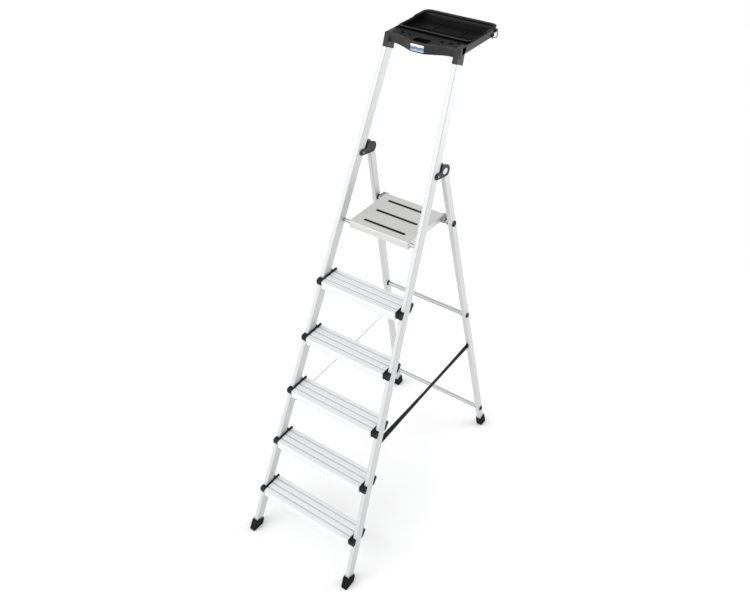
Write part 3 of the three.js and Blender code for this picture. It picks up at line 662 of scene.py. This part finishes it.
tread_nodes = [f"tread_{k}" for k in range(1, 6)]
for node in tread_nodes:
    half_length, _, top = low_high(node)[1]
    points, faces = along_x(tread_shape(half_length))
    placed = points + (0, stile_y(top), top)
    plate = piece(f"{node}_plate", (placed, faces), "front_frame", tread_metal, node)
    own_uv(plate, "profile", points[:, [0, 2]] * MM)
    print(node, "is", round(2 * half_length), "mm long, with its top at", round(top))

# %% [markdown]
# A moulded cap closes each tread end and holds it to the stile: a plate against the tread, a nose block in
# front of the stile and a tail block behind it. Nose and tail end just short of the stile's sloping faces.

# %% Tread caps
def tread_cap(side, inner, centre, y, top):
    """The plate starts at inner; centre is the stile's middle across, and y its middle in depth."""
    face = STILE_DEPTH / 2 / math.cos(FRONT_LEAN) + 0.3
    lean = math.tan(FRONT_LEAN)
    front, back = y - TREAD_FRONT, y + TREAD_BACK
    bottom, back_bottom, ear = top - 27, top - 30, top + 6

    def ahead(z):
        return y - face + (z - top) * lean

    def behind(z):
        return y + face + (z - top) * lean

    plate = outline([(front + 3, bottom), (front + 30, bottom), (back - 10, back_bottom),
                     (back + 3, back_bottom), (back + 3, ear), (back - 8, ear), (back - 22, top + 4),
                     (front + 3, top + 3)], [3, 6, 6, 3, 3, 4, 8, 5])
    nose = outline([(front + 5, bottom), (ahead(bottom), bottom), (ahead(top - 1), top - 1),
                    (front + 8, top - 1), (front + 2, top - 7), (front + 2, top - 21)], [4, 1, 1, 5, 5, 5])
    low_edge, end = behind(back_bottom), y + face + 18
    tail = outline([(low_edge, back_bottom), (low_edge + 14, back_bottom), (end, top - 8),
                    (end, top), (end - 4, top + 4), (behind(top + 4), top + 4)], [1, 4, 3, 2, 3, 1])
    parts = [solid(plate, inner, centre - STILE_WIDTH / 2 - 0.3, 1.2),
             solid(nose, inner + 5, centre + 10, 1.6),
             solid(tail, inner + 1, centre + STILE_WIDTH / 2, 1.6)]
    points, faces = along_x(merged(*parts))
    return points * (side, 1, 1), faces


for number, node in enumerate(tread_nodes, 1):
    inner, _, top = low_high(node)[1]
    centre = stile_x(top / math.cos(FRONT_LEAN))
    for name, side in SIDES.items():
        cap = tread_cap(side, inner + 0.3, centre, stile_y(top), top)
        piece(f"{node}_end_{name}", cap, "front_frame", cap_plastic,
              f"tread_cap_{number}_{name}")
measured("tread_1_end")

# %% [markdown]
# The hinge bracket is an eight-shaped moulding: a small lobe riveted to the stile and a large one round the
# leg's pivot. Two cheeks stand on a web, and each outer face has a raised rim. A pale oval insert fills the
# large lobe and covers the outer end of the pin, whose black inner end is flush.

# %% Hinge brackets
SLOT_HALF, CHEEK = LEG_WIDTH / 2 + 0.9, 4
BRACKET_HALF = SLOT_HALF + CHEEK
RIVET_ALONG, RIVET_BEHIND = 1724, 8
BIG_LOBE, SMALL_LOBE = 22, 12.5  # radii
INSERT_CENTRE = (50, 1746)


def bracket_outline():
    """Clockwise round the big lobe, under the small one and back up behind the stile; then reversed."""
    big = np.radians(np.linspace(90, -70, 26))
    small = np.radians(np.linspace(-75, -260, 26))
    rear, top = STILE_DEPTH / 2 + 2, PIVOT_ALONG + BIG_LOBE
    lobe = np.stack([PIVOT_BEHIND - 5 + BIG_LOBE * np.cos(big), PIVOT_ALONG + BIG_LOBE * np.sin(big)], 1)
    foot = np.stack([RIVET_BEHIND - 3 + SMALL_LOBE * np.cos(small),
                     RIVET_ALONG + SMALL_LOBE * np.sin(small)], 1)
    crown = [(rear, top - 9), (rear + 2.5, top - 2.5), (rear + 9, top)]
    waist = [(rear - 7, RIVET_ALONG + 15), (rear - 2, RIVET_ALONG + 18)]
    return evenly(np.concatenate([crown, lobe, foot, waist])[::-1], 150)


def hinge_bracket():
    shape = bracket_outline()
    web = outline([(21.6, 1736), (36, 1722), (50, 1726), (50, 1768), (26, 1768.5), (21.6, 1764)], 2.5)
    parts = [solid(web, -SLOT_HALF - 1, SLOT_HALF + 1, 1)]
    for side in (-1, 1):
        low, high = sorted((side * SLOT_HALF, side * BRACKET_HALF))
        rim_low, rim_high = sorted((side * (BRACKET_HALF - 1), side * (BRACKET_HALF + 1.2)))
        parts.append(solid(shape, low, high, 1.2))
        parts.append(solid(inset(shape, 1.0), rim_low, rim_high, 0.9, [inset(shape, 4.2)]))
    return along_x(merged(*parts))


def oval_insert(side):
    tilt = math.radians(22)
    angle = np.linspace(0, 2 * np.pi, 60, endpoint=False)
    oval = np.stack([15.5 * np.cos(angle), 10.5 * np.sin(angle)], 1)
    spin = np.array([[math.cos(tilt), math.sin(tilt)], [-math.sin(tilt), math.cos(tilt)]])
    low = BRACKET_HALF + 0.2 if side > 0 else -BRACKET_HALF - 1.8
    return along_x(solid(oval @ spin + INSERT_CENTRE, low, low + 1.6, 0.7))


def rivet(reach, radius, head, height):
    """A shank with a domed head at each end."""
    dome = np.linspace(0, np.pi / 2, 8)
    cap = np.stack([head * np.cos(dome), reach + height * np.sin(dome)], 1)
    return along_x(turned([*(cap * (1, -1))[::-1], (radius, -reach), (radius, reach), *cap]))


hinge_pin = rivet(BRACKET_HALF - 0.6, 3.9, 4.4, 0.6)
bracket_rivet = rivet(BRACKET_HALF + 1.4, 3, 5.2, 1.8)
for name, side in SIDES.items():
    placed = bracket_frame(side)
    piece(f"bracket_moulding_{name}", hinge_bracket(), "front_frame", bracket_plastic,
          f"hinge_bracket_{name}", placed)
    piece(f"bracket_oval_{name}", oval_insert(side), "front_frame", pale_plastic,
          f"bracket_insert_{name}", placed)
    piece(f"hinge_pin_turned_{name}", hinge_pin, "front_frame", black_pin,
          f"hinge_pin_{name}", placed @ shift(0, PIVOT_BEHIND, PIVOT_ALONG))
    piece(f"bracket_rivet_turned_{name}", bracket_rivet, "front_frame", dull_steel,
          f"bracket_rivet_{name}", placed @ shift(0, RIVET_BEHIND, RIVET_ALONG))
measured("bracket_moulding", "bracket_oval", "hinge_pin")

# %% [markdown]
# The rear frame's bars are round tubes that pass through the legs. Each has a stepped plug at its ends, and
# a black collar where it meets the leg's inner face.

# %% Crossbars, platform rod, plugs and collars
AROUND = 40  # points round a tube, a plug or a collar


def tube_shape(radius, wall, half_length):
    """Outer wall, flat ends with broken edges, and inner wall: a turned profile that ends where it began."""
    loop = [(radius - wall, -half_length), (radius - 0.4, -half_length), (radius, -half_length + 0.4),
            (radius, half_length - 0.4), (radius - 0.4, half_length), (radius - wall, half_length)]
    return along_x(turned([*loop, loop[0]], AROUND))


def plug_shape(radius):
    """A stepped head with a shallow dish in its middle."""
    rim = radius + 3
    return turned([(0, -12), (radius - 2.8, -12), (radius - 2.8, 0), (rim - 0.6, 0), (rim, 0.6), (rim, 1.6),
                   (rim - 1, 2.3), (radius - 0.4, 2.7), (radius - 1.6, 4.2), (radius - 2.6, 4.5),
                   (radius - 4, 4.1), (0, 3.6)], AROUND)


def collar_shape(radius):
    rim = radius + 2.6
    loop = [(radius + 0.2, 0), (rim, 0), (rim, 3.2), (rim - 1, 5), (radius + 0.2, 5.4)]
    return turned([*loop, loop[0]], AROUND)


BARS = {  # each bar's plug, and its wall
    "rear_crossbar_upper": ("crossbar_plug_upper", 1.5),
    "platform_rod": ("platform_rod_plug", 1.8),
    "rear_crossbar_lower": ("crossbar_plug_lower", 1.5),
}
for bar, (plug, wall) in BARS.items():
    low, high = low_high(bar)
    centre = (low + high) / 2
    radius = (high[2] - low[2]) / 2
    piece(f"{bar}_tube", tube_shape(radius, wall, high[0]), "rear_frame", bar_metal, bar,
          shift(*centre))
    for name, side in SIDES.items():
        outward = turn(side * math.pi / 2, "Y")
        piece(f"{plug}_turned_{name}", plug_shape(radius), "rear_frame", cap_plastic,
              f"{plug}_{name}", shift(side * (high[0] + 1), *centre[1:]) @ outward)
        inner = side * (high[0] - LEG_WIDTH - 1.2)
        piece(f"{bar}_collar_{name}", collar_shape(radius), "rear_frame", cap_plastic, (),
              shift(inner, *centre[1:]) @ turn(-side * math.pi / 2, "Y"))
measured(*(f"{bar}_tube" for bar in BARS))

# %% [markdown]
# The platform is one sheet with its edges folded down. The rings follow its outline: over the fold from the
# flat top, down the lip, round its lower edge and back up inside. How deep the lip hangs depends on where
# the ring's point lies, which is deep in front, shallower at the sides and gone where the hooks sit.

# %% Platform
plate_low, plate_high = low_high("platform_plate")
SHEET, FOLD, SIDE_LIP, BACK_LIP, FRONT_RETURN = 2.5, 4.5, 22, 13, 24


def platform_shape():
    top, front, back, half = plate_high[2], plate_low[1], plate_high[1], plate_high[0]
    loop = evenly(rectangle(-half, half, front, back, 7, 8), 420)
    hook_front = low_high("platform_hook_left")[0, 1] - 4
    hook_inner = -low_high("platform_hook_left")[1, 0] - 2
    depth = np.full(len(loop), float(SIDE_LIP))
    depth[loop[:, 1] < front + FRONT_RETURN] = top - plate_low[2]
    depth[loop[:, 1] > back - 3] = BACK_LIP
    cut_away = (loop[:, 1] > hook_front) & (np.abs(loop[:, 0]) > hook_inner)
    depth[cut_away] = FOLD + 0.6
    arc = np.linspace(np.pi / 2, 0, 7)
    inner = FOLD - SHEET
    rows = [(SHEET + 6, SHEET)]
    rows += [(SHEET + inner * (1 - math.cos(a)), SHEET + inner * (1 - math.sin(a))) for a in arc]
    rows += [(SHEET, depth - 0.4), (SHEET - 0.4, depth), (0.4, depth), (0, depth - 0.4)]
    rows += [(FOLD * (1 - math.cos(a)), FOLD * (1 - math.sin(a))) for a in arc[::-1]]
    rings = np.array([np.column_stack([inset(loop, drawn_in), np.broadcast_to(top - drop, len(loop))])
                      for drawn_in, drop in rows])
    return rings.reshape(-1, 3), skin(rings)


piece("platform_sheet", platform_shape(), "platform", sheet_metal, "platform_plate")
measured("platform_sheet")

# %% [markdown]
# Two grey hooks under the platform's rear corners sit over the rod between the legs, and lift off it when
# the ladder folds. At its front the platform turns on two shouldered pins that pass through the stiles.

# %% Platform hooks and pins
def hook_shape(low, high, rod_y, rod_z):
    """A block with an open-bottomed socket over the rod; its front lip is cut short where the rod leaves."""
    arc = np.radians(np.linspace(-10.7, 150.5, 24))
    socket = np.stack([rod_y + 10.8 * np.cos(arc), rod_z + 10.8 * np.sin(arc)], 1)
    loop = np.concatenate([[(low[1], high[2]), (low[1], low[2]), (rod_y - 13.5, low[2])], socket[::-1],
                           [(high[1], low[2]), (high[1], high[2])]])
    return along_x(solid(loop, low[0], high[0], 0.8))


def pin_shape(inner, outer):
    """A head inside the lip, a shank through it, a wide spacer up to the stile and a shank through that."""
    return turned([(0, inner), (6.6, inner), (7.4, inner + 0.8), (7.4, inner + 2.7), (5, inner + 3),
                   (5, plate_high[0] + 0.4), (7.4, plate_high[0] + 0.6), (7.4, outer - 19.5),
                   (6.6, outer - 18.6), (5, outer - 18.6), (5, outer - 0.5), (4.4, outer), (0, outer)])


rod_centre = middle("platform_rod")
for name, side in SIDES.items():
    low, high = low_high(f"platform_hook_{name}")
    piece(f"platform_hook_moulded_{name}", hook_shape(low, high, *rod_centre[1:]), "platform", hook_plastic,
          f"platform_hook_{name}")
    inner, outer = sorted(np.abs(low_high(f"platform_pin_{name}")[:, 0]))
    points, faces = along_x(pin_shape(inner, outer))
    points = points * (side, 1, 1) + (0, *middle(f"platform_pin_{name}")[1:])
    piece(f"platform_pin_turned_{name}", (points, faces), "front_frame", steel,
          f"platform_pin_{name}")
measured("platform_hook", "platform_pin")

# %% [markdown]
# The anti-slip strips are ribbed rubber bars. The ribs are real geometry: the strip's height is a cosine
# along its length.

# %% Anti-slip strips
def strip_shape(low, high):
    half_length, width = high[0], high[1] - low[1]
    u = np.linspace(-half_length, half_length, 420)
    a = np.linspace(0, 2 * np.pi, 28, endpoint=False)
    into_end = np.clip((np.abs(u) - half_length + width / 2) / (width / 2), 0, 1)
    narrow = np.sqrt(np.clip(1 - into_end ** 2, 0.004, 1))
    rib = 0.78 + 0.22 * np.cos(2 * np.pi * u / 3.0)
    flat = np.sign(np.cos(a)) * np.abs(np.cos(a)) ** 0.4
    tall = np.clip(np.sign(np.sin(a)) * np.abs(np.sin(a)) ** 0.4, 0, 1)
    rings = np.stack([np.repeat(u[:, None], 28, 1), width / 2 * narrow[:, None] * flat[None],
                      (high[2] - low[2]) * (rib * narrow ** 0.5)[:, None] * tall[None]], -1)
    rings += (0, (low[1] + high[1]) / 2, low[2])
    return rings.reshape(-1, 3), skin(rings)


for number in (1, 2, 3):
    node = f"anti_slip_strip_{number}"
    piece(f"grip_strip_{number}", strip_shape(*low_high(node)), "platform", strip_rubber, node,
          bevelled=False)
measured("grip_strip")

# %% [markdown]
# The bow ties the stiles together above the platform. Its apron swells forward in the middle. It is a grid:
# one parameter runs across, the other round a rolled section. Towards the sides its lower edge arches up.

# %% Apron of the bow
bow_low, bow_high = low_high("top_bow")
BOW_SIDE = -bow_low[0]  # the left side has no eyes
LEDGE = bow_high[2]
APRON_BOTTOM, BULGE, BULGE_HALF = LEDGE - 35, 30, 112


def from_foot(y):
    """A depth counted from where the stiles' centre lines meet the floor."""
    return stile_foot_y + y


BOW_FRONT, BOW_BACK = from_foot(852), from_foot(925)


def bow_front(x):
    """The apron's face: a raised cosine 30 mm deep over the middle 224 mm, flat behind the label."""
    reach = np.clip(np.maximum(np.abs(x), 27) / BULGE_HALF, 0, 1)
    return BOW_FRONT - BULGE / 2 * (1 + np.cos(np.pi * reach))


def apron_shape():
    x = np.linspace(-BOW_SIDE, BOW_SIDE, 121)
    section = outline([(0, APRON_BOTTOM), (5, APRON_BOTTOM), (5, LEDGE - 9), (9, LEDGE), (1.5, LEDGE),
                       (0, LEDGE - 4)], [2.2, 2.2, 3, 1.5, 3, 4])
    up = np.clip((section[:, 1] - APRON_BOTTOM) / (LEDGE - APRON_BOTTOM), 0, 1)
    swell = 1.4 * np.sin(np.pi * up) * (section[:, 0] < 2.5)
    arch = 3.5 * np.clip(np.abs(x) / BULGE_HALF, 0, 1) ** 2
    across = np.repeat(x[:, None], len(section), 1)
    depth = bow_front(x)[:, None] + section[:, 0] - swell
    height = section[:, 1] + arch[:, None] * (1 - up)
    rings = np.stack([across, depth, height], -1)
    return rings.reshape(-1, 3), skin(rings)


print("apron: from", round(bow_front(0.0)), "in the middle to", round(bow_front(BOW_SIDE)), "at the sides")

# %% [markdown]
# The ledge on top has a slot and round holes for tools, each with a raised lip. A closed pocket hangs below
# the slot, and a sunken channel parts the ledge from the tray's rim.

# %% Ledge of the bow
TOOL_HOLES = ((98, 884, 9), (66, 880, 7), (118, 902, 5))  # across, from the foot, and radius
LIP = 1.8


def round_holes(wider=0.0):
    return [circle(side * across, from_foot(depth), radius + wider)
            for across, depth, radius in TOOL_HOLES for side in (-1, 1)]


def slot_outline(wider=0, corner=12):
    return rectangle(-31 - wider, 31 + wider, from_foot(838 - wider), from_foot(872 + wider), corner, 8)


def ledge_shape():
    x = np.linspace(-BOW_SIDE + 2, BOW_SIDE - 2, 81)
    front = np.stack([x, bow_front(x) + 1.5], 1)
    channel = BOW_BACK - 12
    loop = np.concatenate([front, [(BOW_SIDE - 2, channel), (-BOW_SIDE + 2, channel)]])
    return solid(loop, LEDGE - 6, LEDGE - 0.4, 1.2, [*round_holes(), slot_outline()])


def ledge_pockets():
    """The slot's pocket has a wall and a floor, and so has the channel."""
    around, slot = slot_outline(4, 14), slot_outline(1)
    channel = rectangle(-BOW_SIDE + 2, BOW_SIDE - 2, BOW_BACK - 14, BOW_BACK + 4, 0.5)
    further = channel - (0, 12)
    return [solid(around, LEDGE - 33, LEDGE - 5, 0.5, [slot]), solid(around, LEDGE - 34, LEDGE - 31, 0.5),
            solid(channel, LEDGE - 14, LEDGE - 10, 0.5),
            solid(further, LEDGE - 14, LEDGE - 5, 0.5, [inset(further, 2)])]


def hole_rims():
    """A raised lip round each hole and the slot."""
    slot = slot_outline()
    pairs = [*zip(round_holes(LIP), round_holes()), (inset(slot, -LIP), slot)]
    return [solid(outer, LEDGE - 3, LEDGE, 0.5, [hole]) for outer, hole in pairs]


# The ledge, its pockets and the channel wear the darker plastic, which is painted shade.
piece("bow_ledge", merged(ledge_shape(), *ledge_pockets(), *hole_rims()), "front_frame", shaded_ledge_plastic)
measured("bow_ledge")

# %% [markdown]
# A socket on each side of the bow holds a stile, and an arm with a shallow recess reaches back to carry the
# tray. The right arm has two eyes for the bucket hook, which swings on the line through them.

# %% Sockets, arms and eyes of the bow
SOCKET_BOTTOM = 2108  # along the stile


def along_front(behind, along):
    """Depth and height of a point given behind the stiles' centre line and along them."""
    _, y, z, _ = front_plane @ (0, behind, along, 1)
    return y, z


def bow_sides():
    foot, heel = along_front(-24, SOCKET_BOTTOM), along_front(24, SOCKET_BOTTOM)
    arm_bottom, arm_front, arm_end = LEDGE - 26, heel[0] - 10, from_foot(1104)
    socket = outline([foot, heel, (heel[0] + 10, arm_bottom), (heel[0] + 22, LEDGE), (BOW_FRONT, LEDGE)],
                     [2.5, 2.5, 6, 2, 2.5])
    arm = outline([(arm_front, arm_bottom), (arm_end - 26, arm_bottom), (arm_end, arm_bottom + 15),
                   (arm_end, LEDGE - 0.2), (arm_front, LEDGE - 0.2)], [1, 6, 3, 1, 1])
    rib_front, rib_end = heel[0] + 14, arm_end - 14
    rib = outline([(rib_front, arm_bottom + 8), (rib_end - 14, arm_bottom + 8), (rib_end, arm_bottom + 16),
                   (rib_end, LEDGE - 5), (rib_front, LEDGE - 5)], 3)
    inner = stile_x(SOCKET_BOTTOM) - STILE_WIDTH / 2 - 2.6
    layers = ((socket, inner, BOW_SIDE, 2.2), (arm, BOW_SIDE - 5, BOW_SIDE, 1.4),
              (rib, BOW_SIDE - 1, BOW_SIDE + 0.9, 0.6, [inset(rib, 2.2)]))
    parts = []
    for side in (-1, 1):
        for layer in layers:
            points, faces = along_x(solid(*layer))
            parts.append((points * (side, 1, 1), faces))
    tie = rectangle(arm_end - 4, arm_end, LEDGE - 18, LEDGE - 0.3, 1.2)
    parts.append(along_x(solid(tie, -BOW_SIDE + 1, BOW_SIDE - 1, 1)))
    return parts


hook_low, hook_high = low_high("bucket_hook")
hook_x = (hook_low[0] + hook_high[0]) / 2
EYE_TOP, EYE_LOW = (from_foot(1094), 1974), (from_foot(1077), 1963)


def eye_rings():
    """Two short barrels that hold the bucket hook's ends, on its hinge line."""
    line = np.array([0, EYE_LOW[0] - EYE_TOP[0], EYE_LOW[1] - EYE_TOP[1]])
    toward = Vector(line).to_track_quat("Z", "X").to_matrix().to_4x4()
    barrels = []
    for y, z in (EYE_TOP, EYE_LOW):
        placed = shift(hook_x, y, z) @ np.array(toward)
        points, faces = solid(circle(0, 0, 4.4, 28), -4.5, 4.5, 0.7, [circle(0, 0, 2.7, 28)])
        barrels.append((points @ placed[:3, :3].T + placed[:3, 3], faces))
    return barrels


piece("bow_moulding", merged(apron_shape(), *bow_sides(), *eye_rings()), "front_frame", bow_plastic,
      "top_bow")
measured("bow_moulding")

# %% [markdown]
# The tray is a thin basin that hangs in the bow by its flange. Each ring is a rounded rectangle with its own
# size and height: from the middle of the underside out and up, over the rim, and down inside to the floor.
# The rim's sides are lower in front of a step, and stand higher behind it.

# %% Tool tray
tray_low, tray_high = low_high("tool_tray")
RIM_WIDTH, TRAY_WALL, BACK_SLOPE = 9, 2.6, 22


def tray_ring(drawn_in, slope, corner):
    """A rounded rectangle drawn in from the flange, and further in at the back by the slope."""
    half = tray_high[0] - drawn_in
    front, back = tray_low[1] + drawn_in, tray_high[1] - drawn_in - slope
    return evenly(rectangle(-half, half, front, back, corner, 10), 240)


def tray_shape():
    rim, floor = tray_high[2], tray_low[2]
    wall_in, inner = RIM_WIDTH - 2.5, RIM_WIDTH + TRAY_WALL
    rows = [  # drawn in, share of the back's slope, corner and height: outside, over the rim, and inside
        (60, 1, 20, floor), (wall_in + 12, 1, 18, floor), (wall_in + 5, 1, 20, floor + 1.5),
        (wall_in + 2, 1, 22, floor + 6), (wall_in, 0.5, 23, rim - 12), (wall_in, 0.3, 23, rim - 6),
        (1.5, 0, 25, rim - 5.6), (0.4, 0, 26, rim - 5), (0, 0, 26, rim - 3), (0.6, 0, 25.6, rim - 0.9),
        (2, 0, 25, rim), (4, 0, 24, rim - 0.3), (inner - 3.5, 0.1, 22, rim - 2.4),
        (inner, 0.35, 20, rim - 5), (inner + 1, 0.8, 19, floor + 12), (inner + 2.6, 1, 18, floor + 6),
        (inner + 6, 1, 16, floor + 3.4), (inner + 12, 1, 14, floor + 3), (60, 1, 10, floor + 3),
    ]
    rings = []
    for drawn_in, sloped, corner, height in rows:
        ring = tray_ring(drawn_in, sloped * BACK_SLOPE, corner)
        share = np.clip((height - floor) / (rim - floor), 0, 1)
        rearward = (ring[:, 1] - tray_low[1]) / (tray_high[1] - tray_low[1])
        dip = np.clip((rearward - 0.06) / 0.06, 0, 1) * np.clip((0.62 - rearward) / 0.1, 0, 1)
        rings.append(np.column_stack([ring, height - 4 * share * dip]))
    rings = np.array(rings)
    return rings.reshape(-1, 3), skin(rings)


def tray_floor_ribs():
    """Low stiffening ribs that part the floor into fields."""
    floor = tray_low[2] + 3
    y0, y1 = tray_low[1] + 26, tray_high[1] - 48
    half, across = 1.3, (y0 + y1) / 2
    loops = [rectangle(x - half, x + half, y0, y1, 1) for x in (-58, 58)]
    ribs = [solid(loop, floor - 0.6, floor + 2.2, 0.8) for loop in loops]
    long_loop = rectangle(-110, 110, across - half, across + half, 1)
    return [*ribs, solid(long_loop, floor - 0.6, floor + 2.0, 0.8)]


piece("tray_basin", merged(tray_shape(), *tray_floor_ribs()), "front_frame", tray_plastic,
      "tool_tray")
measured("tray_basin")

# %% [markdown]
# The bucket hook is a bent wire that swings in the bow's eyes. The label is a thin plate on the flat in the
# middle of the apron, with a plain printed pattern.

# %% Bucket hook and label
HOOK_CORNER = (from_foot(1111), 1947)


def hook_wire():
    """A wire of 4.5 mm whose centre line turns at three rounded corners in one upright plane."""
    top, low = np.array(EYE_TOP), np.array(EYE_LOW)
    line = (low - top) / np.linalg.norm(low - top)
    corners = [top + 2.5 * line, top - 14.5 * line, HOOK_CORNER, low + 14.5 * line, low - 2.5 * line]
    path = outline(corners, [0, 5, 5, 5, 0], 8)
    ahead = np.gradient(path, axis=0)
    ahead /= np.linalg.norm(ahead, axis=1, keepdims=True)
    aside = np.stack([-ahead[:, 1], ahead[:, 0]], 1)
    a = np.linspace(0, 2 * np.pi, 16, endpoint=False)
    radius = (hook_high[0] - hook_low[0]) / 2 - 0.4
    rings = np.empty((len(path), 16, 3))
    rings[..., 0] = hook_x + radius * np.cos(a)
    rings[..., 1:] = path[:, None] + radius * np.sin(a)[None, :, None] * aside[:, None]
    return rings.reshape(-1, 3), skin(rings)


piece("bucket_hook_wire", hook_wire(), "bucket_hook", dark_steel, "bucket_hook", bevelled=False)
label_low, label_high = low_high("label")
label_loop = rectangle(label_low[0], label_high[0], label_low[2], label_high[2], 3)
points, faces = solid(label_loop, label_low[1], label_high[1], 0.4)
piece("label_plate", (points[:, [0, 2, 1]], faces), "front_frame", label_film, "label")
measured("bucket_hook", "label_plate")

# %% [markdown]
# Two spreader straps stop the frames from sliding apart. Each tape leaves its anchors at slightly different
# angles, so it is a thin section that is carried from anchor to anchor and turned as it goes. It crosses the
# hinge, so it is tied to neither frame.

# %% Spreader straps
TAPE_WIDTH, TAPE_THICK = 25, 1.5
TWIST = {"left": (-30, -36, -33), "right": (28, 0, 12)}  # degrees at the front, the middle and the rear


def tape(start, end, twist):
    """The section turns along a parabola through the three twist angles, and hangs by a slight sag."""
    u = np.linspace(0, 1, 181)
    angle = np.radians(np.polyval(np.polyfit((0, 0.5, 1), twist, 2), u))
    path = start + (end - start) * u[:, None]
    path[:, 2] -= 2 * np.sin(np.pi * u)
    along = (end - start) / np.linalg.norm(end - start)
    flat = np.cross(along, (0, 0, 1))
    flat /= np.linalg.norm(flat)
    upright = np.cross(flat, along)
    loop = rectangle(-TAPE_THICK / 2, TAPE_THICK / 2, -TAPE_WIDTH / 2, TAPE_WIDTH / 2, 0.5, 2)
    cosine, sine = np.cos(angle)[:, None, None], np.sin(angle)[:, None, None]
    thick, wide = loop[None, :, :1], loop[None, :, 1:]
    rings = path[:, None] + (thick * cosine - wide * sine) * flat + (thick * sine + wide * cosine) * upright
    return rings, loop, np.linalg.norm(end - start) * u


for name, side in SIDES.items():
    front_box, rear_box = low_high(f"strap_anchor_front_{name}"), low_high(f"strap_anchor_rear_{name}")
    start, end = front_box.mean(axis=0), rear_box.mean(axis=0)
    start[1], end[1] = front_box[1, 1] - 5, rear_box[0, 1] + 4
    rings, loop, run = tape(start, end, TWIST[name])
    strap = piece(f"strap_tape_{name}", (rings.reshape(-1, 3), skin(rings)), None, strap_webbing,
                  f"strap_{name}", bevelled=False)
    own_uv(strap, "weave", np.stack(np.meshgrid(run, loop[:, 1], indexing="ij"), -1).reshape(-1, 2) * MM)
    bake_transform(strap)
    for kind, box, lean, width, body in (("front", front_box, -FRONT_LEAN, 14, "front_frame"),
                                         ("rear", rear_box, REAR_LEAN, 12, "rear_frame")):
        block = solid(rectangle(-width / 2, width / 2, -4, 4, 1.5), -11, 11, 1.3)
        placed = shift(*box.mean(axis=0)) @ turn(lean, "X")
        piece(f"strap_anchor_block_{kind}_{name}", block, body, cap_plastic,
              f"strap_anchor_{kind}_{name}", placed)
    print(f"strap_{name}:", round(run[-1]), "mm long, turned by", TWIST[name], "degrees")

# %% [markdown]
# The stage is a pale floor under broad, soft light: an even sky, a wide sun from the climber's side and one
# lamp behind on the right.

# %% Floor and light
def area_light(name, place, target, size, power):
    light = bpy.data.lights.new(name, "AREA")
    light.size, light.energy = size, power
    made = added(bpy.data.objects.new(name, light))
    made.location = place
    made.rotation_euler = (Vector(target) - Vector(place)).to_track_quat("-Z", "Y").to_euler()


FLOOR_HALF = 40  # metres
floor_corners = [(x * FLOOR_HALF, y * FLOOR_HALF, 0) for x, y in ((-1, -1), (1, -1), (1, 1), (-1, 1))]
floor_mesh = bpy.data.meshes.new("floor")
floor_mesh.from_pydata(floor_corners, [], [(0, 1, 2, 3)])
floor_finish = Finish("floor_paper", 0.9)
floor_finish.set(Base_Color=(0.95, 0.95, 0.95, 1))
floor_mesh.materials.append(floor_finish.material)
added(bpy.data.objects.new("floor", floor_mesh))

world = bpy.data.worlds.new("studio")
world.use_nodes = True
background = next(n for n in world.node_tree.nodes if n.type == "BACKGROUND")
background.inputs["Color"].default_value = (1, 1, 1, 1)
background.inputs["Strength"].default_value = 0.8
bpy.context.scene.world = world
sun = bpy.data.lights.new("soft_sun", "SUN")
sun.energy, sun.angle = 1.5, math.radians(60)
lamp = added(bpy.data.objects.new("soft_sun", sun))
lamp.rotation_euler = Vector((0.35, 0.85, -0.62)).to_track_quat("-Z", "Y").to_euler()
area_light("right_rear", (1.7, 1.7, 1.5), (0.2, 0.45, 1.2), 1.2, 16)
bpy.context.scene.view_settings.view_transform = "Standard"
print("lights:", [light.name for light in bpy.data.lights])

# %% [markdown]
# The camera stands to the right of the climber's side, above the bow's height, and looks down on the treads.
# Its place is the target plus a distance along the direction it looks from, and a small roll turns it.

# %% Camera
AZIMUTH, ELEVATION, ROLL = (math.radians(a) for a in (36.415, 39.158, -0.947))
TARGET, DISTANCE = Vector((0.0504, -0.1301, 1.0668)), 3.0966
level = math.cos(ELEVATION)
back = Vector((math.sin(AZIMUTH) * level, -math.cos(AZIMUTH) * level, math.sin(ELEVATION)))
right = (-back).cross(Vector((0, 0, 1))).normalized()
up = right.cross(-back)
rolled_right = right * math.cos(ROLL) + up * math.sin(ROLL)
rolled_up = up * math.cos(ROLL) - right * math.sin(ROLL)
lens = bpy.data.cameras.new("camera")
lens.lens, lens.sensor_width = 39.13, 36
lens.shift_x, lens.shift_y = 0.0133, 0.0204
camera = added(bpy.data.objects.new("camera", lens))
standpoint = TARGET + back * DISTANCE
camera.matrix_world = Matrix([*zip(rolled_right, rolled_up, back, standpoint), (0, 0, 0, 1)])
bpy.context.scene.camera = camera
print("camera (m):", [round(value, 3) for value in standpoint])
